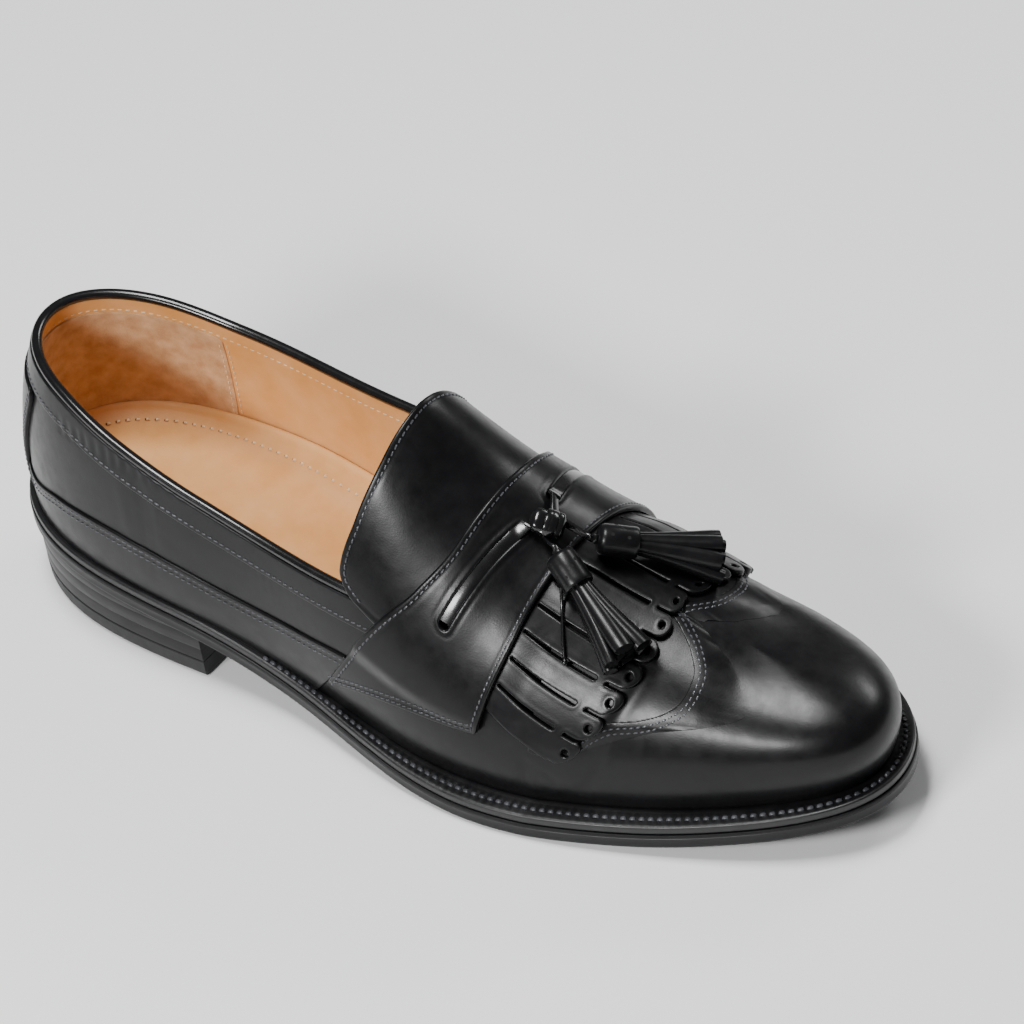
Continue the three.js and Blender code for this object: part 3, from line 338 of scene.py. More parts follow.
    def at(self, along: Array, across: Array, lift: Array = 0.0) -> Array:
        """Skin points by share of the length and place across, -1 lateral foot to +1 medial."""
        across = np.asarray(across, float)
        return self.skin(self.turn_at(along), 1 - abs(across), np.where(across < 0, -1, 1), lift)

    def rim_up(self, turn: Array, side: Array) -> Array:
        """How far up the last the rim lies."""
        turn, side = np.broadcast_arrays(np.asarray(turn, float), np.asarray(side, float))
        along = self.along_at(turn)
        height = self.pick(self.rim, np.minimum(along, self.collar_end), side)
        lower, upper = np.zeros(turn.shape), np.ones(turn.shape)
        held = np.minimum(turn, self.turn_at(self.collar_end))
        for _ in range(24):
            middle = (lower + upper) / 2
            below = self.point(held, middle, side)[..., 2] < height
            lower, upper = np.where(below, middle, lower), np.where(below, upper, middle)
        curve = np.clip((along - self.collar_end) / (self.throat - self.collar_end), 0, 1)
        return np.where(along >= self.throat, 1, 1 - (1 - lower) * np.sqrt(1 - curve ** 2))


# Mesh helpers

def grid_faces(rows: int, columns: int, closed: bool = False, flip: bool = False,
               start: int = 0) -> list:
    """Quads of a grid of points.

    Args:
        rows: points along the first way.
        columns: points along the second way.
        closed: whether the second way joins up.
        flip: whether to turn the faces over.
        start: index of the first point.

    Returns:
        The quads.
    """
    i, j = np.meshgrid(np.arange(rows - 1), np.arange(columns if closed else columns - 1),
                       indexing="ij")
    k = (j + 1) % columns
    quads = np.stack([i * columns + j, (i + 1) * columns + j, (i + 1) * columns + k,
                      i * columns + k], -1).reshape(-1, 4) + start
    return (quads[:, ::-1] if flip else quads).tolist()


def joined(parts: Iterable[Mesh]) -> Mesh:
    """One mesh from several."""
    points, faces, count = [], [], 0
    for p, f in parts:
        points.append(np.asarray(p, float).reshape(-1, 3))
        faces += [[v + count for v in face] for face in f]
        count += len(points[-1])
    return np.vstack(points), faces


def tube(rings: Array) -> Mesh:
    """Body through rings of points, with flat ends."""
    count, sides = rings.shape[:2]
    faces = grid_faces(count, sides, closed=True)
    faces += [list(range(sides)), list(range((count - 1) * sides, count * sides))[::-1]]
    return rings.reshape(-1, 3), faces


def frames(line: Array, normals: Array) -> tuple[Array, Array, Array]:
    """Directions along, across and out of a line."""
    forward = unit(np.gradient(line, axis=0))
    wide = unit(np.cross(forward, normals))
    return forward, wide, np.cross(wide, forward)


def ribbon(line: Array, normals: Array, half_wide: Array, half_thick: Array, sides: int = 12,
           square: float = 0.45) -> Mesh:
    """Strap or cord along a line.

    Args:
        line: points of the middle.
        normals: way out of the surface at each point.
        half_wide: half width, one value or one for each point.
        half_thick: half thickness, likewise.
        sides: points round the section.
        square: power that squares the section; 1 is round.

    Returns:
        The closed mesh.
    """
    _, wide, thick = frames(line, normals)
    angle = np.linspace(0, 2 * np.pi, sides, endpoint=False)
    c = np.sign(np.cos(angle)) * abs(np.cos(angle)) ** square
    s = np.sign(np.sin(angle)) * abs(np.sin(angle)) ** square
    w = np.broadcast_to(half_wide, len(line))[:, None, None]
    t = np.broadcast_to(half_thick, len(line))[:, None, None]
    rings = (line[:, None] + w * c[None, :, None] * wide[:, None]
             + t * s[None, :, None] * thick[:, None])
    return tube(rings)


class Slot(Enum):
    """Material slots of the record."""

    CALF = "black_calf"
    LINING = "tan_lining"
    SOLE = "sole_leather"
    HEEL = "heel_rubber"


def piece(name: str, mesh: Mesh, material: bpy.types.Material,
          replaces: Sequence[str] = (), angle: float = 45.0) -> bpy.types.Object:
    """Object from a mesh in millimetres, riding on the shoe.

    Args:
        name: the piece's name.
        mesh: points and faces.
        material: its finish.
        replaces: solids that it stands for.
        angle: edges sharper than this stay sharp, in degrees.

    Returns:
        The object.
    """
    points, faces = mesh
    data = bpy.data.meshes.new(name)
    data.from_pydata((np.asarray(points).reshape(-1, 3) * MM).tolist(), [], faces)
    data.update()
    data.shade_smooth()
    data.set_sharp_from_angle(angle=math.radians(angle))
    obj = bpy.data.objects.new(name, data)
    bpy.context.scene.collection.objects.link(obj)
    data.materials.append(material)
    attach(obj, BODY)
    if replaces:
        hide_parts(*replaces)
    log.info("%s: %d points, %d faces", name, len(data.vertices), len(data.polygons))
    return obj


def cut_grid(field_values: Array) -> tuple[Array, list, Array]:
    """Part of a grid where a field is positive, cut along the field's zero line.

    Args:
        field_values: the field at each grid point.

    Returns:
        Fractional grid places of the points, the faces, and the rim's edges in order.
    """
    m, n = field_values.shape
    f = np.where(abs(field_values) < 1e-6, 1e-6, field_values)
    inside = f > 0
    index = -np.ones((m, n), int)
    index[inside] = np.arange(inside.sum())
    places = np.argwhere(inside).astype(float).tolist()
    whole = inside[:-1, :-1] & inside[1:, :-1] & inside[1:, 1:] & inside[:-1, 1:]
    i, j = np.nonzero(whole)
    faces = np.stack([index[i, j], index[i + 1, j], index[i + 1, j + 1], index[i, j + 1]],
                     -1).tolist()
    some = (inside[:-1, :-1] | inside[1:, :-1] | inside[1:, 1:] | inside[:-1, 1:]) & ~whole
    crossing: dict = {}

    def cross(a: tuple, b: tuple) -> int:
        """Point where the zero line crosses a grid edge."""
        key = (min(a, b), max(a, b))
        if key not in crossing:
            a, b = key
            share = np.clip(f[a] / (f[a] - f[b]), 0.02, 0.98)
            crossing[key] = len(places)
            places.append([a[0] + share * (b[0] - a[0]), a[1] + share * (b[1] - a[1])])
        return crossing[key]

    for i, j in np.argwhere(some).tolist():
        corners = [(i, j), (i + 1, j), (i + 1, j + 1), (i, j + 1)]
        face = []
        for a, b in zip(corners, corners[1:] + corners[:1]):
            if inside[a]:
                face.append(int(index[a]))
            if inside[a] != inside[b]:
                face.append(cross(a, b))
        if len(face) > 2:
            faces.append(face)
    seen: dict = {}
    for face in faces:
        for a, b in zip(face, face[1:] + face[:1]):
            if (b, a) in seen:
                del seen[(b, a)]
            else:
                seen[(a, b)] = True
    return np.array(places), faces, np.array(list(seen), int)


@dataclass
class Leather:
    """Sheet of leather laid over the last.

    Args:
        last: the form under it.
        domain: turns two running values into turn, up and side.
        first: the first value's range.
        second: the second value's range.
        cell: grid cells along each.
        inside: distance in from the edge, in millimetres, at each pair of values.
        under: height of its underside over the skin.
        over: height of its upper side.
        edge: radius of the rounded edge.
        bead: how far the turned edge stands proud.
        channel: how far in from the edge the stitch channel runs, 0 for none.
        relief: soft folds, added to both heights.
        soft_edge: share of the rounding that each place of the edge gets.
    """

    last: Last
    domain: Callable
    first: tuple[float, float]
    second: tuple[float, float]
    cell: tuple[int, int]
    inside: Callable
    under: Callable | float
    over: Callable | float
    edge: float = 0.45
    bead: float = 0.0
    channel: float = 0.0
    relief: Callable | None = None
    soft_edge: Callable | None = None

    def build(self) -> Mesh:
        """Closed mesh of the sheet, with its edge rounded in rings."""
        p = np.linspace(*self.first, self.cell[0])
        q = np.linspace(*self.second, self.cell[1])
        places, faces, rim = cut_grid(self.inside(*np.meshgrid(p, q, indexing="ij")) - self.edge)
        a = np.interp(places[:, 0], np.arange(len(p)), p)
        b = np.interp(places[:, 1], np.arange(len(q)), q)
        rim_ids, back = np.unique(rim, return_inverse=True)
        rim_pairs = back.reshape(rim.shape)
        angles = np.radians([28, 52, 74, 90])
        ring_a, ring_b = a[rim_ids], b[rim_ids]
        rings = []
        for angle in angles:
            ring_a, ring_b = self.moved(ring_a, ring_b, self.edge * (1 - math.sin(angle)))
            rings.append((ring_a, ring_b))
        drops = self.edge * (1 - np.cos(angles))
        all_a = np.concatenate([a, *[r[0] for r in rings]])
        all_b = np.concatenate([b, *[r[1] for r in rings]])
        drop = np.concatenate([np.zeros(len(a)), *[np.full(len(rim_ids), d) for d in drops]])
        turn, up, side = self.domain(all_a, all_b)
        base, out = self.last.point(turn, up, side), self.last.outward(turn, up, side)
        over, under = self.height(self.over, all_a, all_b), self.height(self.under, all_a, all_b)
        facing = 1.0 if float((over - under).mean()) > 0 else -1.0
        depth = np.clip(self.inside(all_a, all_b), 0, None)
        if self.soft_edge:
            drop = drop * self.soft_edge(all_a, all_b)
        shape = self.bead * np.exp(-((depth - 0.8) / 0.5) ** 2)
        if self.channel:
            shape = shape - 0.10 * np.exp(-((depth - self.channel) / 0.4) ** 2)
        over = over + facing * (shape - drop)
        if self.relief:
            fold = self.relief(base)
            over, under = over + fold, under + fold
        top = base + over[:, None] * out
        last_ring = slice(len(all_a) - len(rim_ids), len(all_a))
        low = base + under[:, None] * out
        n, m, total = len(a), len(rim_ids), len(all_a)
        bottom_core, bottom_ring = total, total + n
        points = np.vstack([top, low[:n], low[last_ring]])
        levels = [rim_ids] + [n + k * m + np.arange(m) for k in range(len(angles))]
        levels += [bottom_ring + np.arange(m), bottom_core + rim_ids]
        quads = []
        for inner, outer in zip(levels, levels[1:]):
            quads.append(np.column_stack([inner[rim_pairs[:, 1]], inner[rim_pairs[:, 0]],
                                          outer[rim_pairs[:, 0]], outer[rim_pairs[:, 1]]]))
        every = faces + [[v + bottom_core for v in f[::-1]] for f in faces]
        every += np.vstack(quads).tolist()
        if not self._faces_out(top, faces, out * facing):
            every = [f[::-1] for f in every]
        return points, every

    def height(self, rule: Callable | float, a: Array, b: Array) -> Array:
        """Heights from a rule or from one value."""
        return rule(a, b) if callable(rule) else np.full(len(a), float(rule))

    def moved(self, a: Array, b: Array, target: float) -> tuple[Array, Array]:
        """Places moved straight to where the distance in from the edge has a value.

        Args:
            a: first values.
            b: second values.
            target: the distance wanted.

        Returns:
            The moved values.
        """
        def size(da: float, db: float) -> Array:
            """Millimetres for one unit of each value."""
            ends = [self.last.point(*self.domain(a + k * da, b + k * db)) for k in (1, -1)]
            return np.linalg.norm(ends[0] - ends[1], axis=1) / (2 * (da + db))
        wide_a, wide_b = np.maximum(size(1e-4, 0), 1), np.maximum(size(0, 1e-4), 1)
        for _ in range(3):
            ha, hb = 0.04 / wide_a, 0.04 / wide_b
            fa = (self.inside(a + ha, b) - self.inside(a - ha, b)) / 0.08
            fb = (self.inside(a, b + hb) - self.inside(a, b - hb)) / 0.08
            step = (target - self.inside(a, b)) / np.maximum(fa * fa + fb * fb, 0.15)
            step = np.clip(step, -0.6, 0.6)
            a, b = a + step * fa / wide_a, b + step * fb / wide_b
        return a, b

    @staticmethod
    def _faces_out(points: Array, faces: list, out: Array) -> bool:
        """Whether the faces turn out of the last."""
        some = [f for f in faces[:400] if len(f) == 4]
        f = np.array(some)
        normal = np.cross(points[f[:, 1]] - points[f[:, 0]], points[f[:, 2]] - points[f[:, 0]])
        return float((normal * out[f[:, 0]]).sum()) > 0


def over_top(along: Array, across: Array) -> tuple[Array, Array, Array]:
    """Domain by share of the length and place across."""
    return Last.turn_at(along), 1 - abs(across), np.where(across < 0, -1, 1)


def slot_ends(side: int) -> tuple[float, float, float, float]:
    """Share of the length and place across of a lace slot's two ends."""
    return .590, side * .465, .620, side * (.09 if side < 0 else .06)


# Lines of stitches

@dataclass
class SkinLine:
    """Line on the skin, by share of the length and place across."""

    last: Last
    points: Sequence[Sequence[float]]
    count: int = 160

    def params(self, offset: float = 0.0) -> Array:
        """Places along the line, moved sideways by an offset in millimetres."""
        p = through(self.points, self.count)
        if offset:
            d = 1e-3
            base = self.last.at(p[:, 0], p[:, 1])
            pa = (self.last.at(p[:, 0] + d, p[:, 1]) - self.last.at(p[:, 0] - d, p[:, 1])) / (2 * d)
            pw = (self.last.at(p[:, 0], p[:, 1] + d) - self.last.at(p[:, 0], p[:, 1] - d)) / (2 * d)
            side = unit(np.cross(unit(np.cross(pa, pw)), unit(np.gradient(base, axis=0)))) * offset
            aa, ww, aw = (pa * pa).sum(1), (pw * pw).sum(1), (pa * pw).sum(1)
            sa, sw = (side * pa).sum(1), (side * pw).sum(1)
            det = aa * ww - aw * aw
            p = p + np.stack([(sa * ww - sw * aw) / det, (sw * aa - sa * aw) / det], 1)
        return p

    def laid(self, lift: float | Callable, offset: float = 0.0,
             relief: Callable | None = None) -> tuple[Array, Array]:
        """Points and normals of the line at a height over the skin."""
        p = self.params(offset)
        turn, up, side = over_top(p[:, 0], p[:, 1])
        out = self.last.outward(turn, up, side)
        base = self.last.point(turn, up, side)
        height = lift(p[:, 0], p[:, 1]) if callable(lift) else np.full(len(p), lift)
        if relief:
            height = height + relief(base)
        return base + height[:, None] * out, out


@dataclass
class Stitching:
    """Row of stitches in thread of a real thickness."""

    pitch: float = 2.3
    share: float = 0.72
    radius: float = 0.27
    slant: float = 7.0

    def along(self, line: Array, normals: Array) -> Mesh:
        """Mesh of the stitches along a line.

        Args:
            line: points of the row, on the leather.
            normals: way out of the leather at each point.

        Returns:
            One mesh with a closed body for each stitch.
        """
        where, _ = resampled(line, self.pitch)
        middle = (where[:-1] + where[1:]) / 2
        centre, out = taken(line, middle), unit(taken(normals, middle))
        forward = unit(taken(line, where[1:]) - taken(line, where[:-1]))
        wide = unit(np.cross(out, forward))
        lean = math.radians(self.slant)
        forward = forward * math.cos(lean) + wide * math.sin(lean)
        wide = unit(np.cross(out, forward))
        half = self.pitch * self.share / 2
        x = np.array([-1, -.86, -.4, .4, .86, 1]) * half
        size = np.array([.30, .78, 1, 1, .78, .30]) * self.radius
        drop = np.array([-.55, -.18, .12, .12, -.18, -.55]) * self.radius
        angle = np.linspace(0, 2 * np.pi, 6, endpoint=False)
        n = len(centre)
        points = (centre[:, None, None] + x[None, :, None, None] * forward[:, None, None]
                  + drop[None, :, None, None] * out[:, None, None]
                  + (size[:, None] * np.cos(angle))[None, :, :, None] * wide[:, None, None]
                  + (size[:, None] * np.sin(angle) * .85)[None, :, :, None] * out[:, None, None])
        block = grid_faces(6, 6, closed=True, flip=True)
        block += [list(range(6))[::-1], list(range(30, 36))]
        faces = [[v + 36 * k for v in f] for k in range(n) for f in block]
        return points.reshape(-1, 3), faces


# Finishes

def linear(hex_colour: str) -> tuple[float, float, float, float]:
    """Linear colour of an sRGB hex value."""
    parts = [int(hex_colour[i:i + 2], 16) / 255 for i in (1, 3, 5)]
    return (*[c / 12.92 if c <= 0.04045 else ((c + 0.055) / 1.055) ** 2.4 for c in parts], 1.0)


def add_node(tree: bpy.types.NodeTree, kind: str, settings: dict | None = None,
             inputs: dict | None = None) -> bpy.types.Node:
    """Node with its settings and links.

    Args:
        tree: the material's node tree.
        kind: the node's type.
        settings: attributes to set.
        inputs: values, or sockets to link from, for each input.

    Returns:
        The node.
    """
    node = tree.nodes.new(kind)
    for name, value in (settings or {}).items():
        setattr(node, name, value)
    for name, value in (inputs or {}).items():
        if isinstance(value, bpy.types.NodeSocket):
            tree.links.new(value, node.inputs[name])
        else:
            node.inputs[name].default_value = value
    return node


def per_mm(size: float) -> float:
    """Texture scale for a pattern of a size in millimetres."""
    return 1 / (size * MM)


@dataclass(frozen=True)
class Finish:
    """Look of one material: its colours, gloss and relief.

    colour and shade are the two ends of its slow variation, grain and fold the sizes of its
    fine and broad relief in millimetres, with their depths.
    """

    name: str
    colour: str
    shade: str
    roughness: float
    roughness_spread: float = 0.08
    coat: float = 0.0
    coat_roughness: float = 0.2
    grain: float = 0.6
    grain_depth: float = 0.03
    fold: float = 9.0
    fold_depth: float = 0.10
    blotch: float = 14.0
    sheen: float = 0.0
    ior: float = 1.5
    fibre: tuple[float, float, float] = (1.0, 1.0, 1.0)
    specular: float = 0.5

    def material(self) -> bpy.types.Material:
        """Material made from these values."""
        made = bpy.data.materials.new(self.name)
        made.use_nodes = True
        tree = made.node_tree
        tree.nodes.clear()
        place = add_node(tree, "ShaderNodeTexCoord").outputs["Object"]
        place = add_node(tree, "ShaderNodeMapping", inputs={"Vector": place, "Scale": self.fibre}
                         ).outputs["Vector"]
        slow = add_node(tree, "ShaderNodeTexNoise", inputs={
            "Vector": place, "Scale": per_mm(self.blotch), "Detail": 3.0, "Roughness": 0.55})
        tint = add_node(tree, "ShaderNodeValToRGB", inputs={"Fac": slow.outputs["Fac"]})
        tint.color_ramp.elements[0].position = 0.32
        tint.color_ramp.elements[0].color = linear(self.shade)
        tint.color_ramp.elements[1].position = 0.68
        tint.color_ramp.elements[1].color = linear(self.colour)
        wear = add_node(tree, "ShaderNodeTexNoise", inputs={
            "Vector": place, "Scale": per_mm(self.blotch / 3), "Detail": 4.0, "Roughness": 0.6})
        gloss = add_node(tree, "ShaderNodeMapRange", inputs={
            "Value": wear.outputs["Fac"], "From Min": 0.3, "From Max": 0.7,
            "To Min": self.roughness - self.roughness_spread,
            "To Max": self.roughness + self.roughness_spread})
        cells = add_node(tree, "ShaderNodeTexVoronoi", inputs={
            "Vector": place, "Scale": per_mm(self.grain)})
        pores = add_node(tree, "ShaderNodeBump", inputs={
            "Height": cells.outputs["Distance"], "Strength": 1.0,
            "Distance": self.grain_depth * MM})
        waves = add_node(tree, "ShaderNodeTexNoise", inputs={
            "Vector": place, "Scale": per_mm(self.fold), "Detail": 2.0, "Roughness": 0.5})
        folds = add_node(tree, "ShaderNodeBump", inputs={
            "Height": waves.outputs["Fac"], "Strength": 1.0, "Distance": self.fold_depth * MM,
            "Normal": pores.outputs["Normal"]})
        shader = add_node(tree, "ShaderNodeBsdfPrincipled", inputs={
            "Base Color": tint.outputs["Color"], "Roughness": gloss.outputs["Result"],
            "Normal": folds.outputs["Normal"], "IOR": self.ior,
            "Specular IOR Level": self.specular, "Coat Weight": self.coat,
            "Coat Roughness": self.coat_roughness, "Sheen Weight": self.sheen})
        add_node(tree, "ShaderNodeOutputMaterial", inputs={"Surface": shader.outputs["BSDF"]})
        return made


@dataclass
class Finishes:
    """Every finish of the shoe, made once."""

    # Aniline calf, glazed and waxed: near black, a tight grain under a thin coat of polish;
    # the grain is drawn at half a millimetre, coarser than it is, so that it shows
    calf: Finish = Finish("polished_black_calf", "#0d0d0f", "#060607", 0.34, 0.06, 0.10, 0.20,
                          0.50, 0.010, 9.0, 0.10, specular=0.24)
    # The same calf turned over a cord and burnished, so smoother and glossier
    rolled: Finish = Finish("burnished_calf_binding", "#0c0c0e", "#070708", 0.24, 0.04, 0.4, 0.12,
                            0.5, 0.006, 12.0, 0.05, specular=0.40)
    # Vegetable tanned lining calf, plated smooth: warm tan with a soft sheen
    lining: Finish = Finish("tan_lining_calf", "#e4b076", "#daa05c", 0.52, 0.06, 0.0, 0.3,
                            0.7, 0.02, 7.0, 0.10, specular=0.30)
    # Heel pocket in reversed calf, brushed: a short nap that drinks the light
    suede: Finish = Finish("tan_reversed_calf", "#d6ae82", "#b98d60", 0.92, 0.04, 0.0, 0.3,
                           0.55, 0.10, 5.0, 0.12, 5.0, 0.25)
    # Sole edges, dyed, waxed and ironed: satin, with faint lines along the cut layers
    edge: Finish = Finish("ironed_sole_edge", "#0c0c0e", "#070708", 0.44, 0.07, 0.08, 0.28,
                          0.5, 0.014, 6.0, 0.05, 9.0, 0.0, 1.5, (0.35, 0.35, 2.2), specular=0.25)
    # Grooved welt leather, dyed black and less polished than the upper
    welt: Finish = Finish("wheeled_welt_leather", "#101012", "#08080a", 0.42, 0.08, 0.1, 0.3,
                          0.5, 0.02, 3.0, 0.05)
    # Moulded heel rubber: matt black with a fine dull skin
    rubber: Finish = Finish("moulded_heel_rubber", "#161617", "#0e0e0f", 0.62, 0.06, 0.0, 0.3,
                            0.6, 0.02, 9.0, 0.05)
    # Waxed linen thread in black, its base colour painted grey: a painted sheen for the thin light that
    # each turn catches
    thread: Finish = Finish("black_thread_painted_sheen", "#4a4b50", "#2c2d31", 0.36, 0.06, 0.2, 0.2,
                            0.25, 0.02, 1.0, 0.0)
    # Undyed cotton thread of the lining
    pale: Finish = Finish("undyed_cotton_thread", "#f1dcb8", "#dcbf92", 0.7, 0.05, 0.0, 0.3,
                          0.25, 0.02, 1.0, 0.0)
    # Dark of a punched hole
    pinhole: Finish = Finish("punched_hole_shadow", "#030303", "#010101", 0.9, 0.03, 0.0, 0.3,
                             0.6, 0.0, 10.0, 0.0)
    # Dark of a needle hole in the tan leather
    hole: Finish = Finish("needle_hole_shadow", "#4a2d16", "#2f1b0c", 0.9, 0.03, 0.0, 0.3,
                          0.3, 0.0, 1.0, 0.0)
    made: dict = field(default_factory=dict)

    def of(self, name: str) -> bpy.types.Material:
        """Material of a finish, by its field's name."""
        if name not in self.made:
            self.made[name] = getattr(self, name).material()
        return self.made[name]


# Creases and folds

@dataclass
class Creases:
    """Soft troughs and ridges of the worn leather, placed on the skin."""

    last: Last
    # Points by share of the length and place across, depth and width in millimetres;
    # the row in the loop is the short gathers under the collar band
    troughs: tuple = (
        (((.691, -.765), (.688, -.85), (.681, -.955)), -0.55, 1.5),
        (((.698, -.775), (.700, -.85), (.699, -.93)), -0.30, 1.2),
        (((.775, -.620), (.762, -.76), (.747, -.935)), -0.60, 1.9),
        (((.768, -.700), (.757, -.80), (.740, -.90)), -0.25, 1.1),
        (((.702, -.80), (.716, -.84), (.722, -.90)), -0.22, 1.1),
        (((.790, -.30), (.770, -.48), (.752, -.66)), 0.45, 3.2),
        (((.806, -.28), (.786, -.45), (.764, -.62)), -0.45, 2.6),
        (((.212, -.60), (.226, -.68), (.232, -.80), (.226, -.93)), -0.16, 1.8),
        (((.226, -.62), (.238, -.71), (.243, -.82), (.238, -.93)), -0.12, 1.5),
        (((.196, -.64), (.206, -.76), (.214, -.90)), 0.12, 2.4),
        *((((a, -.600), (a + .004, -.632), (a + .003, -.655)), -0.20, 1.1)
          for a in (.110, .124, .139, .151, .166, .181, .194, .208, .223, .236, .251, .266, .281, .297,
                    .312, .328, .345, .361)),
        (((.775, .620), (.762, .76), (.747, .935)), -0.50, 1.9),
        (((.691, .765), (.688, .85), (.681, .955)), -0.45, 1.5),
        (((.806, .28), (.786, .45), (.764, .62)), -0.40, 2.6),
        (((.230, .60), (.240, .75), (.232, .90)), -0.35, 2.6),
    )

    def __post_init__(self) -> None:
        """Lay each line on the skin."""
        self.lines = []
        for points, depth, width in self.troughs:
            p = through(points, 60)
            ends = np.sin(np.pi * np.linspace(0, 1, 60)) ** 0.6
            self.lines.append((self.last.at(p[:, 0], p[:, 1]), depth * ends, width))

    def __call__(self, points: Array) -> Array:
        """Height of the folds at points of the skin, in millimetres."""
        flat = points.reshape(-1, 3)
        out = np.zeros(len(flat))
        for line, depth, width in self.lines:
            low, high = line.min(0) - 3 * width, line.max(0) + 3 * width
            near = np.nonzero(((flat > low) & (flat < high)).all(1))[0]
            for part in np.array_split(near, max(1, len(near) // 4000)):
                if len(part):
                    d = np.linalg.norm(flat[part][:, None] - line[None], axis=2)
                    k = d.argmin(1)
                    out[part] += depth[k] * np.exp(-(d[np.arange(len(part)), k] / width) ** 2)
        return out.reshape(points.shape[:-1])


# Upper

@dataclass
class Upper:
    """Vamp and quarters on the last, with lining, collar band, foxing, backstay and binding."""

    last: Last
    finishes: Finishes
    creases: Creases
    columns: int = 330
    rows: int = 100
    band: float = 8.6
    panel: float = 0.7
    binding_wide: float = 3.2
    binding_high: float = 2.6
    turned_in: float = 1.4

    def __post_init__(self) -> None:
        """Tables of the panels' edges."""
        self.seam = EasyCurve([0, .042, .108, .171, .297, .419, .477, .50],
                              [.100, .106, .151, .161, .146, .186, .226, .24])
        self.stay = EasyCurve([0, .20, .80, 1], [.105, .108, .150, .165])
        turns = np.linspace(0, 1, 400)
        self.rims = [EasyCurve(turns, self.last.rim_up(turns, np.full(400, s))) for s in (-1, 1)]

    def rim(self, turn: Array, side: Array) -> Array:
        """How far up the rim lies."""
        return np.where(np.asarray(side) < 0, self.rims[0](turn), self.rims[1](turn))

    def round_heel(self, q: Array, up: Array) -> tuple[Array, Array, Array]:
        """Domain that runs from one side round the heel to the other."""
        return abs(q), up, np.where(q < 0, -1, 1)

    def below_rim(self, q: Array, up: Array) -> Array:
        """Distance down from the rim, in millimetres."""
        turn, side = abs(q), np.where(q < 0, -1, 1)
        top = self.rim(turn, side)
        speed = np.linalg.norm(self.last.point(turn, top, side)
                               - self.last.point(turn, top - .08, side), axis=-1) / .08
        return (top - up) * speed

    def puckers(self, turn: Array, up: Array, side: Array) -> Array:
        """Small gathers under the collar band at the waist."""
        q = np.where(side < 0, -turn, turn)
        depth = self.below_rim(q, up) - self.band
        along = self.last.along_at(turn)
        zone = smooth_step((along - .20) / .08) * smooth_step((.50 - along) / .05)
        run = self.last.sole_length * along
        gather, height, fall = 2.9, .16, 3.2
        wave = (np.sin(2 * np.pi * run / gather + 1.3 * np.sin(run / 5.1))
                * (0.6 + 0.4 * np.sin(run / 8.3)))
        away = np.exp(-np.clip(depth, 0, None) / fall) * (depth > -.5)
        return height * wave * zone * away

    def skin_mesh(self) -> Mesh:
        """Outer surface with its creases, turned in at the rim and the foot."""
        turns = np.linspace(0, 1, self.columns + 1)
        parts = []
        for side in (-1, 1):
            t = np.repeat(turns[:, None], self.rows + 1, 1)
            top = self.rim(turns, np.full(len(turns), side))[:, None]
            u = np.linspace(0, 1, self.rows + 1)[None] * top
            base = self.last.point(t, u, side)
            lift = self.creases(base) + self.puckers(t, u, np.full(t.shape, side))
            out = self.last.outward(t, u, side)
            outer = base + lift[..., None] * out
            foot = self.last.skin(turns, 0 * turns, side, -self.turned_in)[:, None]
            rim = self.last.skin(turns, top[:, 0], side, -self.turned_in)[:, None]
            grid = np.concatenate([foot, outer, rim], 1)
            parts.append((grid.reshape(-1, 3),
                          grid_faces(*grid.shape[:2], flip=side > 0)))
        return welded(joined(parts))

    def lining_mesh(self) -> Mesh:
        """Inner surface of the wall."""
        turns, levels = np.linspace(0, 1, 221), np.linspace(0, 1, 61)
        parts = []
        for side in (-1, 1):
            t = np.repeat(turns[:, None], len(levels), 1)
            u = levels[None] * self.rim(turns, np.full(len(turns), side))[:, None]
            inner = self.last.skin(t, u, side, -self.last.wall)
            rim = self.last.skin(turns, u[:, -1], side, -1.2)[:, None]
            grid = np.concatenate([inner, rim], 1)
            parts.append((grid.reshape(-1, 3), grid_faces(*grid.shape[:2], flip=side < 0)))
        return welded(joined(parts))

    def sheet(self, inside: Callable, under: float, over: float, reach: float,
              **extra: float) -> Mesh:
        """Panel round the heel as far as a share of the length."""
        limit = float(self.last.turn_at(reach))
        return Leather(self.last, self.round_heel, (-limit, limit), (-.002, 1.0), (700, 144), inside,
                       under, over, relief=self.creases, **extra).build()

    def band_inside(self, q: Array, up: Array) -> Array:
        """Distance in from the collar band's lower edge and from the rim."""
        down = self.below_rim(q, up)
        front = (.545 - self.last.along_at(abs(q))) * self.last.sole_length
        return np.minimum(np.minimum(self.band - down, down + .3), front)

    def foxing_inside(self, q: Array, up: Array) -> Array:
        """Distance in from the edges of the lower quarter panel."""
        along = self.last.along_at(abs(q))
        seam = (self.seam(along) - up) * UP_MM
        front = (.426 + .26 * up - along) * self.last.sole_length * .8
        foot = (up + .0015) * UP_MM
        return np.minimum(np.minimum(seam, front), foot + .5)

    def stay_inside(self, q: Array, up: Array) -> Array:
        """Distance in from the backstay's edges, with rounded upper corners."""
        down = self.below_rim(q, up) - self.band - .6
        share = up / self.rim(abs(q), np.where(q < 0, -1, 1))
        wide = (self.stay(share) - abs(q)) * TURN_MM
        corner = 5.0
        near = np.hypot(np.clip(corner - down, 0, None), np.clip(corner - wide, 0, None))
        return np.where((down < corner) & (wide < corner), corner - near, np.minimum(down, wide))

    def pocket_front(self, up: Array) -> Array:
        """Share of the length where the suede heel pocket ends."""
        return .163 + .020 * up

    def pocket_inside(self, q: Array, up: Array) -> Array:
        """Distance in from the edge of the suede heel pocket."""
        along = self.last.along_at(abs(q))
        down = self.below_rim(q, up) - 6.5
        front = (self.pocket_front(up) - along) * self.last.sole_length
        return np.minimum(down, front)

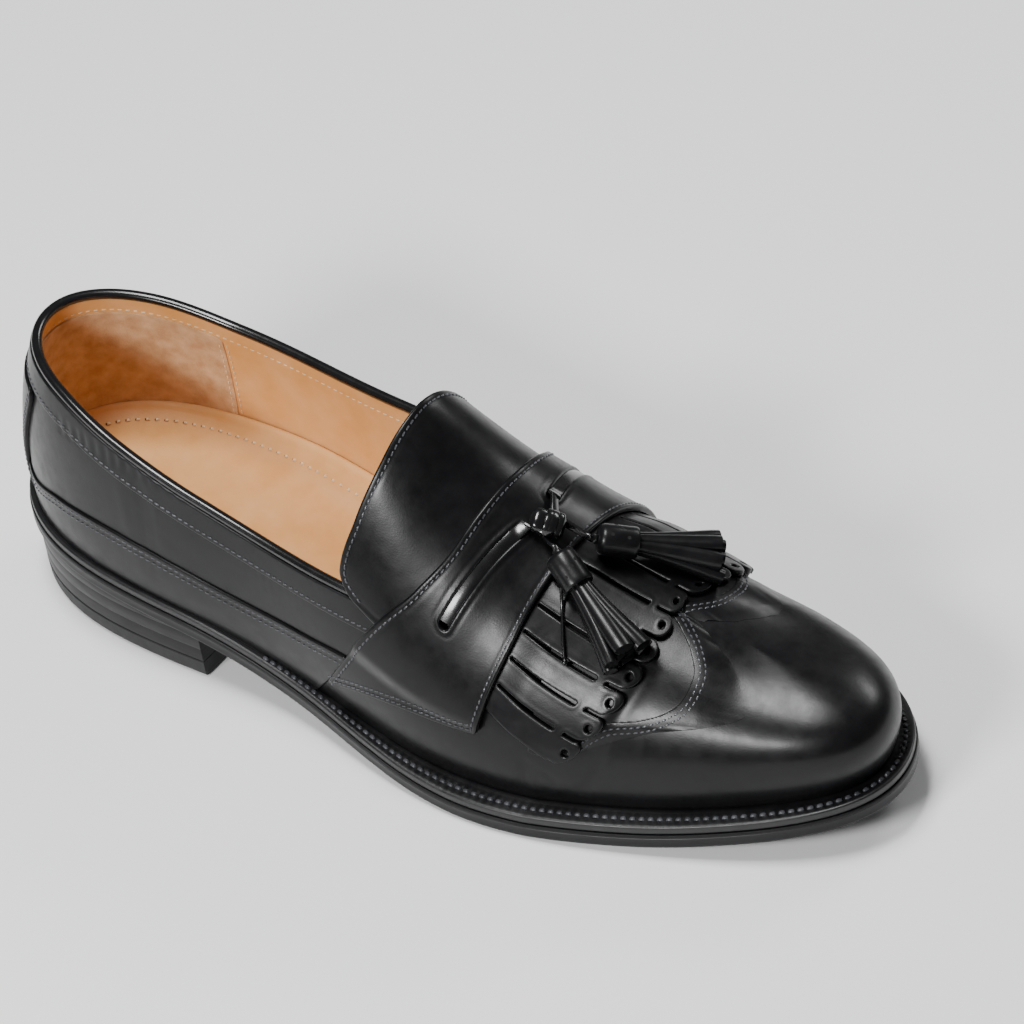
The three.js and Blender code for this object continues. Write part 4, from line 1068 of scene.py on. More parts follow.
    def binding(self) -> Mesh:
        """Rolled binding on the collar's rim."""
        turns = np.linspace(0, float(self.last.turn_at(self.last.collar_end + .012)), 190)
        q = np.concatenate([-turns[::-1], turns[1:]])
        turn, side = abs(q), np.where(q < 0, -1, 1)
        top = self.rim(turn, side)
        out = self.last.outward(turn, top, side)
        rising = unit(self.last.point(turn, top, side) - self.last.point(turn, top - .02, side))
        centre = self.last.skin(turn, top, side, -self.last.wall / 2)
        centre = centre + rising * (self.last.gap + self.binding_high / 2)
        angle = np.linspace(0, 2 * np.pi, 24, endpoint=False)
        c, s = np.cos(angle), np.sin(angle)
        s = np.where(s < 0, s * 1.5, s)
        rings = (centre[:, None] + self.binding_wide / 2 * c[None, :, None] * out[:, None]
                 + self.binding_high / 2 * s[None, :, None] * rising[:, None])
        return tube(rings)

    def line_round(self, height: Callable, reach: tuple[float, float], lift: float,
                   side: int) -> tuple[Array, Array]:
        """Line at a height rule along one side.

        Args:
            height: turns and side to how far up the line lies.
            reach: first and last share of the length.
            lift: height over the skin.
            side: -1 lateral or 1 medial.

        Returns:
            Points and normals.
        """
        turn = np.linspace(*[float(self.last.turn_at(r)) for r in reach], 260)
        sides = np.full(260, side)
        up = height(turn, sides)
        out = self.last.outward(turn, up, sides)
        base = self.last.point(turn, up, sides)
        return base + (lift + self.creases(base))[:, None] * out, out

    def seams(self) -> Mesh:
        """Stitch rows of the collar band, the foxing and the backstay."""
        rows = []
        stitch = Stitching(2.2, .70, .25)
        for side in (-1, 1):
            def down_from_rim(mm: float) -> Callable:
                """Height rule at a distance below the rim."""
                def rule(turn: Array, sides: Array) -> Array:
                    """How far up the row lies."""
                    top = self.rim(turn, sides)
                    speed = np.linalg.norm(self.last.point(turn, top, sides)
                                           - self.last.point(turn, top - .08, sides), axis=-1) / .08
                    return top - mm / speed
                return rule

            def seam_down(mm: float) -> Callable:
                """Height rule at a distance below the foxing seam."""
                def rule(turn: Array, sides: Array) -> Array:
                    """How far up the row lies."""
                    return self.seam(self.last.along_at(turn)) - mm / UP_MM
                return rule

            rows.append(stitch.along(*self.line_round(down_from_rim(self.band - 1.6), (0, .54),
                                                      self.panel + .05, side)))
            for mm in (1.5, 3.4):
                rows.append(stitch.along(*self.line_round(seam_down(mm), (.035, .478),
                                                          self.panel + .05, side)))
            for mm in (1.5, 3.2):
                up = np.linspace(.12, .80, 160)
                sides = np.full(len(up), side)
                rim = self.rim(np.full(len(up), .13), sides)
                turn = self.stay(up) - mm / TURN_MM
                out = self.last.outward(turn, up * rim, sides)
                rows.append(stitch.along(self.last.point(turn, up * rim, sides)
                                         + 1.42 * out, out))
        return joined(rows)

    def lining_seams(self) -> Mesh:
        """Pale stitch rows along the top of the lining and round the heel pocket."""
        rows = []
        stitch = Stitching(2.4, .62, .22)
        for side in (-1, 1):
            turn = np.linspace(0, float(self.last.turn_at(.545)), 300)
            sides = np.full(len(turn), side)
            top = self.rim(turn, sides)
            up = top - .042
            out = self.last.outward(turn, up, sides)
            rows.append(stitch.along(self.last.point(turn, up, sides)
                                     - (self.last.wall + .05) * out, -out))
            up = np.linspace(.03, float(self.rim(np.array(.26), side)) - .075, 120)
            for mm in (1.4, -1.2):
                along = self.pocket_front(up) - mm / self.last.sole_length
                turn = self.last.turn_at(along)
                sides = np.full(len(up), side)
                out = self.last.outward(turn, up, sides)
                rows.append(stitch.along(self.last.point(turn, up, sides)
                                         - (self.last.wall + (.5 if mm > 0 else .05)) * out, -out))
        return joined(rows)

    def make(self) -> None:
        """Build every piece of the upper."""
        of = self.finishes.of
        piece("upper_leather", self.skin_mesh(), of("calf"), ["upper"])
        piece("upper_lining", self.lining_mesh(), of("lining"))
        piece("collar_band", self.sheet(self.band_inside, -.2, self.panel, .546),
              of("calf"))
        piece("quarter_foxing", self.sheet(self.foxing_inside, -.2, self.panel, .50, bead=.12),
              of("calf"))
        piece("back_strip", Leather(
            self.last, self.round_heel, (-.19, .19), (.0, .9), (130, 150), self.stay_inside,
            .1, 1.4, relief=self.creases).build(), of("calf"), ["backstay"])
        piece("heel_pocket", Leather(
            self.last, self.round_heel, (-.36, .36), (.02, .9), (200, 110), self.pocket_inside,
            -self.last.wall + .2, -self.last.wall - .45, edge=.3).build(), of("suede"))
        piece("rolled_binding", self.binding(), of("rolled"), ["collar_binding"])
        piece("upper_stitches", self.seams(), of("thread"))
        piece("lining_stitches", self.lining_seams(), of("pale"))


def welded(mesh: Mesh) -> Mesh:
    """Mesh with the points that coincide made one."""
    points, faces = mesh
    _, first, back = np.unique(np.round(points, 3), axis=0, return_index=True, return_inverse=True)
    back = back.reshape(-1)
    kept = []
    for face in faces:
        ring = []
        for v in face:
            k = int(back[v])
            if not ring or (ring[-1] != k and ring[0] != k):
                ring.append(k)
        if len(ring) > 2:
            kept.append(ring)
    return points[first], kept


# Front: overlay, fringed flap, saddle and tongue

@dataclass
class Front:
    """Everything that is laid over the vamp and the instep."""

    last: Last
    finishes: Finishes
    creases: Creases
    overlay_leather: float = 1.1
    flap_leather: float = 1.5
    saddle_leather: float = 1.6
    strips: int = 13
    fringe_shift: float = -.0195
    fringe_back: float = .584
    fringe_front: float = .7235
    slit: float = 0.9
    tip: float = 4.0
    lace_width: float = 3.3
    stack: float = 0.45
    overlay_half: float = 0.735
    hole: float = 1.15

    def __post_init__(self) -> None:
        """Edge curves, with the solids' tables."""
        self.tongue_back = mirrored([0, .20, .40, .54, .585, .60],
                                    [.500, .497, .487, .478, .490, .520])
        self.saddle_back = EasyCurve(
            [-.90, -.70, -.57, -.43, -.24, 0, .24, .43, .57, .70, .90],
            [.452, .499, .528, .557, .579, .585, .576, .555, .528, .499, .452])
        self.saddle_front = mirrored([0, .36, .60, .75], [.667, .660, .647, .638])
        self.saddle_foot = EasyCurve([0, .15, .5, 1], [.90, .85, .775, .725])
        self.lobes = EasyCurve(
            [-.735, -.65, -.59, -.555, -.516, -.463, -.41, -.34, -.268, -.17, -.092, -.03,
             .03, .105, .20, .288, .366, .45, .55, .65, .735],
            [.721, .739, .755, .768, .803, .829, .843, .851, .8545, .844, .821, .797,
             .8155, .8265, .8187, .7997, .772, .747, .733, .725, .719])
        self.over_overlay = 2 * self.last.gap + self.overlay_leather
        self.over_tongue = .5 + self.last.gap + self.flap_leather + self.stack
        self.over_flap = self.last.gap + self.flap_leather + self.stack

    def mm_across(self, along: Array, across: Array) -> Array:
        """Millimetres for one unit across at places of the skin."""
        d = 2e-3
        return np.linalg.norm(self.last.at(along, across + d) - self.last.at(along, across - d),
                              axis=-1) / (2 * d)

    def overlay_inside(self, along: Array, w: Array) -> Array:
        """Distance in from the lobed edge."""
        front = (self.lobes(w) - along) * self.last.sole_length
        step = .01
        slope = (abs(self.lobes(w + step) - self.lobes(w - step)) / (2 * step)
                 * self.last.sole_length / OVERLAY_MM)
        back = (along - .693) * self.last.sole_length
        side = (self.overlay_half - abs(w)) * OVERLAY_MM
        return np.minimum(np.minimum(front / np.sqrt(1 + slope ** 2), back), side)

    def lobe_distance(self, along: Array, w: Array) -> Array:
        """Distance ahead of the lobed seam."""
        length = self.last.sole_length
        step = .006
        slope = (self.lobes(w + step) - self.lobes(w - step)) / (2 * step) * length / OVERLAY_MM
        return (along - self.lobes(w)) * length / np.sqrt(1 + slope ** 2)

    def lap_reach(self, w: Array) -> Array:
        """How far ahead of the lobe line the raised leather falls to the skin."""
        notch = 1 - .30 * np.exp(-((w + .03) / .12) ** 2)
        return 2.5 + 15.5 * notch * smooth_step((.745 - abs(w)) / .34)

    def lap_inside(self, along: Array, w: Array) -> Array:
        """Distance in from the edges of the toe piece beside the lobed seam."""
        ahead = self.lobe_distance(along, w)
        reach = self.lap_reach(w)
        limit = (self.lobes(w) - along) * self.last.sole_length + reach + 3
        side = (self.overlay_half - abs(w)) * OVERLAY_MM
        return np.minimum.reduce([ahead + .7, reach - ahead, limit, side])

    def lap_over(self, along: Array, w: Array) -> Array:
        """Height of the toe piece, which sinks into the vamp away from the seam."""
        fade = smooth_step(1 - np.clip(self.lobe_distance(along, w), 0, None) / self.lap_reach(w))
        return .07 + 1.15 * fade * smooth_step((self.overlay_half - abs(w)) / .12)

    def valley(self, w: Array) -> Array:
        """Where two tips of the fringe part, which is also where the holes are."""
        return .7995 - .143 * w * w

    def fringe_inside(self, along: Array, w: Array) -> Array:
        """Distance in from the fringed flap's edges, slits and holes."""
        length = self.last.sole_length
        front, valley, tuck = self.saddle_front(w), self.valley(w), 6 / length
        slit_end = valley - 9.2 / length
        spread = np.clip((along - (front - tuck)) / (valley - front + tuck), 0, 1)
        half_flap = self.fringe_back + (self.fringe_front - self.fringe_back) * spread
        k = ((w - self.fringe_shift) / half_flap + 1) / 2 * self.strips
        pitch = 2 / self.strips * half_flap * self.mm_across(along, w)
        strip = np.clip(np.floor(k), 0, self.strips - 1)
        off_centre = abs(k - strip - .5) * pitch
        half = (pitch - self.slit) / 2
        ahead = np.maximum((along - valley) * length, 0)
        tips = half * (1 - np.hypot(off_centre / half, ahead / self.tip))
        tips = np.where(along > valley - 2.5 / length, tips, 50.0)
        sides = (half_flap - abs(w - self.fringe_shift)) * self.mm_across(along, w)
        back = (along - (front - tuck)) * length
        seam = np.clip(np.round(k), 1, self.strips - 1)
        off_slit = abs(k - seam) * pitch
        share = np.clip((along - front) / (slit_end - front), 0, 1)
        outside_long = np.maximum((front + .004 - along) * length, (along - slit_end) * length)
        outside_short = (valley - 4.7 / length - along) * length
        half_slit = self.slit * (.42 + .34 * share)
        long_slit = np.hypot(off_slit, np.clip(outside_long, 0, None)) - half_slit
        short_slit = np.hypot(off_slit, np.clip(outside_short, 0, None)) - self.slit / 2
        hole_w = ((strip + .5) / self.strips * 2 - 1) * self.fringe_front + self.fringe_shift
        hole = np.hypot((along - self.valley(hole_w) - .3 / length) * length,
                        (w - hole_w) * self.mm_across(along, w)) - self.hole
        return np.minimum.reduce([tips, sides, back, long_slit, short_slit, hole])

    def fringe_under(self, along: Array, w: Array) -> Array:
        """Height of the flap's underside, which climbs onto the overlay."""
        front = self.saddle_front(w)
        rise = smooth_step((along - front + .004) / .040)
        return self.last.gap + (self.over_overlay - self.last.gap) * rise

    def saddle_under(self, along: Array, w: Array) -> Array:
        """Height of the saddle's underside."""
        back, front = self.saddle_back(w), self.saddle_front(w)
        u = np.clip((along - back) / (front - back), 0, 1)
        high = self.over_tongue + (self.over_flap - self.over_tongue) * smooth_step((u - .3) / .4)
        return .55 + (high - .55) * smooth_step((.745 - abs(w)) / .07)

    def slot_distance(self, along: Array, w: Array, side: int) -> Array:
        """Distance from the middle line of a lace slot."""
        length = self.last.sole_length
        a0, w0, a1, w1 = slot_ends(side)
        wide = self.mm_across(along, w)
        px, py = (along - a0) * length, (w - w0) * wide
        qx, qy = (a1 - a0) * length, (w1 - w0) * wide
        t = np.clip((px * qx + py * qy) / (qx * qx + qy * qy), .03, .985)
        return np.hypot(px - t * qx, py - t * qy)

    def saddle_inside(self, along: Array, w: Array) -> Array:
        """Distance in from the saddle's edges and slots."""
        length = self.last.sole_length
        bw, fw = self.saddle_back(w), self.saddle_front(w)
        step, edge_mm = .01, 80
        slope = (abs(self.saddle_back(w + step) - self.saddle_back(w - step)) / (2 * step)
                 * length / edge_mm)
        back = (along - bw) * length / np.sqrt(1 + slope ** 2)
        front = (fw - along) * length
        u = np.clip((along - bw) / np.maximum(fw - bw, 1e-3), 0, 1)
        foot = (self.saddle_foot(u) - abs(w)) * ACROSS_MM
        slots = np.minimum(self.slot_distance(along, w, -1), self.slot_distance(along, w, 1))
        half = self.lace_width / 2 - .25
        return np.minimum(np.minimum(np.minimum(back, front), foot), slots - half)

    def tongue_inside(self, along: Array, w: Array) -> Array:
        """Distance in from the tongue's free edge."""
        length = self.last.sole_length
        step = .008
        slope = (abs(self.tongue_back(w + step) - self.tongue_back(w - step)) / (2 * step)
                 * length / ACROSS_MM)
        back = (along - self.tongue_back(w)) * length / np.sqrt(1 + slope ** 2)
        front = (np.maximum(self.saddle_back(w), self.tongue_back(w)) + 6 / length - along) * length
        return np.minimum(np.minimum(back, front), (.6 - abs(w)) * ACROSS_MM)

    def over_top_sheet(self, along: tuple[float, float], across: float, cell: float,
                       inside: Callable, under: Callable | float, over: Callable | float,
                       **extra: float) -> Mesh:
        """Sheet over the instep with cells of a size in millimetres."""
        count = (int((along[1] - along[0]) * self.last.sole_length / cell),
                 int(2 * across * ACROSS_MM / cell))
        return Leather(self.last, over_top, along, (-across, across), count, inside, under, over,
                       relief=self.creases, **extra).build()

    def stitches(self) -> Mesh:
        """Rows along the saddle, the tongue and the overlay."""
        rows = []
        close, wide = Stitching(2.0, .72, .27), Stitching(2.2, .72, .29)

        def top(a: Array, w: Array) -> Array:
            """Height of the saddle's upper side, with the thread on it."""
            return self.saddle_under(a, w) + self.saddle_leather + .05

        w = np.linspace(-.885, .885, 41)
        back = np.stack([self.saddle_back(w), w], 1)
        rows.append(wide.along(*SkinLine(self.last, back, 320).laid(top, -1.9, self.creases)))
        w = np.linspace(-.72, .72, 31)
        front = np.stack([self.saddle_front(w), w], 1)
        rows.append(close.along(*SkinLine(self.last, front, 260).laid(top, 1.6, self.creases)))
        for side in (-1, 1):
            u = np.linspace(.03, .97, 15)
            w = side * self.saddle_foot(u)
            bw, fw = self.saddle_back(w), self.saddle_front(w)
            foot = np.stack([bw + u * (fw - bw), w], 1)
            for mm in (1.5, 3.1):
                rows.append(close.along(*SkinLine(self.last, foot, 120).laid(
                    top, -mm * side, self.creases)))
        tongue_top = .8 + self.flap_leather + .05
        w = np.linspace(-.592, .592, 61)
        edge = np.stack([self.tongue_back(w), w], 1)
        rows.append(wide.along(*SkinLine(self.last, edge, 420).laid(tongue_top, -1.9)))
        lobe = np.linspace(-.70, .70, 121)
        edge = np.stack([self.lobes(lobe), lobe], 1)
        for mm in (-1.3, -2.8):
            rows.append(close.along(*SkinLine(self.last, edge, 520).laid(
                lambda a, w: self.lap_over(a, w) + .02, mm, self.creases)))
        return joined(rows)

    def make(self) -> None:
        """Build the overlay, flap, saddle, tongue and their stitches."""
        of = self.finishes.of
        gap = self.last.gap
        piece("lobed_overlay", self.over_top_sheet(
            (.690, .866), .75, .7, self.overlay_inside, gap, gap + .8),
            of("calf"), ["vamp_overlay"])
        piece("toe_lap", self.over_top_sheet(
            (.700, .955), .745, .6, self.lap_inside, lambda a, w: self.lap_over(a, w) - .9,
            self.lap_over, edge=.35, soft_edge=lambda a, w: smooth_step(
                1 - self.lobe_distance(a, w) / 6)), of("calf"))
        piece("fringed_flap", self.over_top_sheet(
            (.640, .816), .77, .47, self.fringe_inside, self.fringe_under,
            lambda a, w: self.fringe_under(a, w) + self.flap_leather, edge=.40, bead=.05),
            of("calf"), ["kiltie"])
        piece("saddle_leather", self.over_top_sheet(
            (.448, .670), .91, .55, self.saddle_inside, self.saddle_under,
            lambda a, w: self.saddle_under(a, w) + self.saddle_leather, edge=.55, bead=.12,
            channel=1.8), of("calf"), ["saddle_strap"])
        piece("tongue_leather", self.over_top_sheet(
            (.474, .612), .61, .55, self.tongue_inside, 1.3, .8 + self.flap_leather,
            edge=.5, bead=.12, channel=1.9), of("calf"), ["tongue"])
        piece("tongue_lining", self.over_top_sheet(
            (.474, .612), .61, 1.0, lambda a, w: self.tongue_inside(a, w) - .5, .8, 1.3,
            edge=.1), of("lining"))
        piece("front_stitches", self.stitches(), of("thread"))


# Lacing and tassels

@dataclass
class Lacing:
    """Flat lace in the slots, its knot, its ends and the tassels."""

    last: Last
    finishes: Finishes
    lace_width: float = 3.3
    lace_thickness: float = 1.2
    slot_fill: float = 1.95
    cap_radius: float = 4.7
    cap_length: float = 11.5
    tassel_length: float = 25.0
    tassel_radius: float = 7.2
    lace_lift: float = 3.35
    knot: tuple = (.637, -.045, 7.6)
    tassels: tuple = (
        ("lateral", (.6614, -.113, 9.45), (.7718, -.285, 8.83)),
        ("medial", (.6824, -.010, 9.45), (.7820, .180, 8.83)),
    )

    def spot(self, at: Sequence[float]) -> Array:
        """Point over the skin."""
        return self.last.at(np.array([at[0]]), np.array([at[1]]), at[2])[0]

    def way_out(self, at: Sequence[float]) -> Array:
        """Direction out of the skin."""
        turn, up, side = over_top(np.array([at[0]]), np.array([at[1]]))
        return self.last.outward(turn, up, side)[0]

    def frame_of(self, start: Sequence[float], end: Sequence[float]) -> tuple:
        """Start, axis, sideways and outward directions of a tassel."""
        a, b = self.spot(start), self.spot(end)
        axis = unit(b - a)
        out = self.way_out(((start[0] + end[0]) / 2, (start[1] + end[1]) / 2))
        wide = unit(np.cross(axis, out))
        return a, axis, wide, np.cross(wide, axis)

    def slot_lace(self, side: int) -> tuple[Array, Array]:
        """Middle line and normals of the lace in one slot."""
        share = np.array([.045, .36, .68, .90, 1.02])
        lift = np.array([0, 0, 0, .4, 2.9])
        a0, w0, a1, w1 = slot_ends(side)
        a, w = a0 + (a1 - a0) * share, w0 + (w1 - w0) * share
        p = through(np.stack([a, w, self.lace_lift + lift], 1), 60)
        turn, up, sides = over_top(p[:, 0], p[:, 1])
        out = self.last.outward(turn, up, sides)
        return self.last.point(turn, up, sides) + p[:, 2:] * out, out

    def bar(self, side: int, name: str) -> None:
        """Lace in one slot."""
        line, out = self.slot_lace(side)
        piece(f"slot_lace_{name}", ribbon(line, out, self.slot_fill, self.lace_thickness / 2),
              self.finishes.of("rolled"), [f"lace_{name}"])

    def knot_frame(self) -> tuple:
        """Middle of the knot and its three directions."""
        centre, out = self.spot(self.knot), self.way_out(self.knot)
        forward = unit(self.spot((.6515, -.029, 7.6)) - centre)
        wide = unit(np.cross(forward, out))
        return centre, forward, wide, np.cross(wide, forward)

    def knot_mesh(self) -> Mesh:
        """Two folds of the lace pulled tight, side by side."""
        centre, forward, wide, out = self.knot_frame()
        parts = []
        for offset, long, half_wide, high in ((-2.9, 3.0, 3.7, 2.7), (2.4, 1.9, 4.1, 3.2)):
            a = np.linspace(-1, 1, 15)
            b = np.linspace(0, 2 * np.pi, 28, endpoint=False)
            round_end = (1 - abs(a) ** 3.2) ** .45
            shape = 1 + .05 * np.cos(3 * b)
            c = np.sign(np.cos(b)) * abs(np.cos(b)) ** .8 * shape
            s = np.sign(np.sin(b)) * abs(np.sin(b)) ** .8 * shape
            size = np.maximum(round_end, .55)[:, None, None]
            rings = (centre + forward * offset + (a * long)[:, None, None] * forward
                     + size * half_wide * c[None, :, None] * wide
                     + size * high * s[None, :, None] * out)
            parts.append(tube(rings))
        return joined(parts)

    def cord_path(self, side: int, name: str) -> tuple[Array, Array]:
        """Path and normals of the lace's end: from the slot, round the knot, to the cap."""
        line, _ = self.slot_lace(side)
        centre, forward, wide, out = self.knot_frame()
        start = line[-2]
        cap, axis, _, cap_out = self.frame_of(*next((a, b) for n, a, b in self.tassels if n == name))
        turn_first = -1.0 if side < 0 else 1.0
        offset = -0.6 if side < 0 else 0.35
        angles = np.linspace(-math.pi * .5, math.pi * 1.35, 13) * turn_first
        loop = [centre + forward * (offset + .25 * k / 12) + 3.9 * math.sin(a) * wide
                + 3.25 * math.cos(a) * out for k, a in enumerate(angles)]
        to_cap = [cap - axis * 2.4 + cap_out * .2, cap + axis * 1.5]
        path = through([start, *loop, *to_cap], 150)
        middle = centre + forward * offset
        normals = unit(path - middle)
        return path, normals

    def tassel(self, name: str, start: Sequence[float], end: Sequence[float],
               seed: int) -> list:
        """Cap with its pinholes, and the strands."""
        of = self.finishes.of
        a, axis, wide, out = self.frame_of(start, end)
        down = np.array([0, .03, .08, .16, .5, .82, .93, .97, 1.0, 1.0])
        radius = np.array([.60, .80, .93, .985, 1.0, 1.0, 1.01, .99, .95, .72]) * self.cap_radius
        angle = np.linspace(0, 2 * np.pi, 40, endpoint=False)
        centre = a + (down * self.cap_length)[:, None] * axis
        rings = (centre[:, None] + radius[:, None, None] * (
            np.cos(angle)[None, :, None] * wide + np.sin(angle)[None, :, None] * out))
        cap = piece(f"cap_{name}", tube(rings), of("calf"), [f"tassel_cap_{name}"])
        holes, hole = [], .56
        for share, turn in ((.30, 1.15), (.56, 1.75), (.72, 1.05), (.42, 2.25)):
            spot_out = math.cos(turn) * wide + math.sin(turn) * out
            middle = a + share * self.cap_length * axis + spot_out * self.cap_radius
            side_way = np.cross(spot_out, axis)
            ring = [middle + hole * (math.cos(b) * axis + math.sin(b) * side_way) + .03 * spot_out
                    for b in np.linspace(0, 2 * np.pi, 14, endpoint=False)]
            deep = [p - .5 * spot_out for p in ring]
            holes.append(tube(np.array([ring, deep])[::-1]))
        pins = piece(f"cap_holes_{name}", joined(holes), of("pinhole"))
        rng = np.random.default_rng(seed)
        strands = []
        count, steps, tucked = 6, 22, .8
        base = a + axis * (self.cap_length - tucked)
        for k in range(count + 2):
            outer = k < count
            around = 2 * math.pi * (k + .5) / count if outer else math.pi * k
            rad0 = .50 if outer else .15
            rad1 = (.90 if outer else .30) * (1 + .16 * rng.uniform(-1, 1))
            c, s = math.cos(around), math.sin(around)
            along = np.linspace(0, 1, steps)
            spread = rad0 * self.cap_radius * (1 - along) + rad1 * self.tassel_radius * (
                along ** 1.25)
            sag = .6 * along ** 2 * rng.uniform(-.5, 1.0)
            long = self.tassel_length * (1 + .05 * rng.uniform(-1, .6)) + tucked
            line = (base + (along * long)[:, None] * axis + (spread * c)[:, None] * wide
                    + (spread * s * .74 - sag)[:, None] * out)
            way = unit(c * wide + s * out)
            twist = rng.uniform(-.5, .5)
            half = np.interp(along, [0, .12, .5, .9, 1], [1.5, 1.9, 2.6, 3.2, 3.1])
            strands.append(curled_strip(line, np.tile(way, (steps, 1)), half, twist,
                                        rng.uniform(.30, .55)))
        bundle = piece(f"strands_{name}", joined(strands), of("calf"),
                       [f"tassel_{name}"], angle=60)
        return [cap, pins, bundle]

    def thong(self) -> bpy.types.Object:
        """Thin thong with a small bead, lying on the fringe."""
        lift, steps = 4.1, 50
        places = ((.6780, -.170, lift + 2.8), (.6900, -.232, lift), (.7030, -.310, lift),
                  (.7155, -.388, lift))
        p = through(places, steps)
        turn, up, side = over_top(p[:, 0], p[:, 1])
        out = self.last.outward(turn, up, side)
        line = self.last.point(turn, up, side) + p[:, 2:] * out
        thin, bead = .52, .38
        size = thin + bead * np.exp(-((np.linspace(0, 1, steps) - .965) / .03) ** 2)
        return piece("thong_cord", ribbon(line, out, size, size, 10, 1.0),
                     self.finishes.of("rolled"), ["thong"])

    def make(self) -> None:
        """Build the lace, the knot, the ends and the tassels."""
        of = self.finishes.of
        knot = piece("lace_knot", self.knot_mesh(), of("rolled"), ["knot"])
        for index, (name, start, end) in enumerate(self.tassels):
            side = -1 if name == "lateral" else 1
            self.bar(side, name)
            pieces = self.tassel(name, start, end, 11 + index)
            if side < 0:
                pieces.append(self.thong())
            path, normals = self.cord_path(side, name)
            cord = piece(f"lace_cord_{name}", ribbon(path, normals, self.lace_width / 2 * .8,
                                                     self.lace_thickness / 2 * .9),
                         of("rolled"), [f"lace_end_{name}"])
            if index == 0:
                pieces.append(knot)


def curled_strip(line: Array, out: Array, half: Array, twist: float, curl: float) -> Mesh:
    """Strip of leather rolled along its length.

    Args:
        line: middle line.
        out: way out of the bundle at each point.
        half: half width of the rolled strip at each point.
        twist: how far it turns about itself, in radians.
        curl: how far the section folds over.

    Returns:
        The closed mesh.
    """
    _, wide, thick = frames(line, out)
    count, sides = len(line), 20
    angle = np.linspace(0, 2 * np.pi, sides, endpoint=False)
    along = np.linspace(0, 1, count)
    turn = (twist * along)[:, None]
    fold = 1 - .42 * curl * np.exp(-((np.mod(angle + np.pi, 2 * np.pi) - np.pi + np.pi / 2) / .45) ** 2)
    x = np.cos(angle)[None] * fold[None]
    y = np.sin(angle)[None] * fold[None] * .72
    xr, yr = x * np.cos(turn) - y * np.sin(turn), x * np.sin(turn) + y * np.cos(turn)
    rings = line[:, None] + half[:, None, None] * (
        xr[..., None] * wide[:, None] + yr[..., None] * thick[:, None])
    return tube(rings)


# Sole

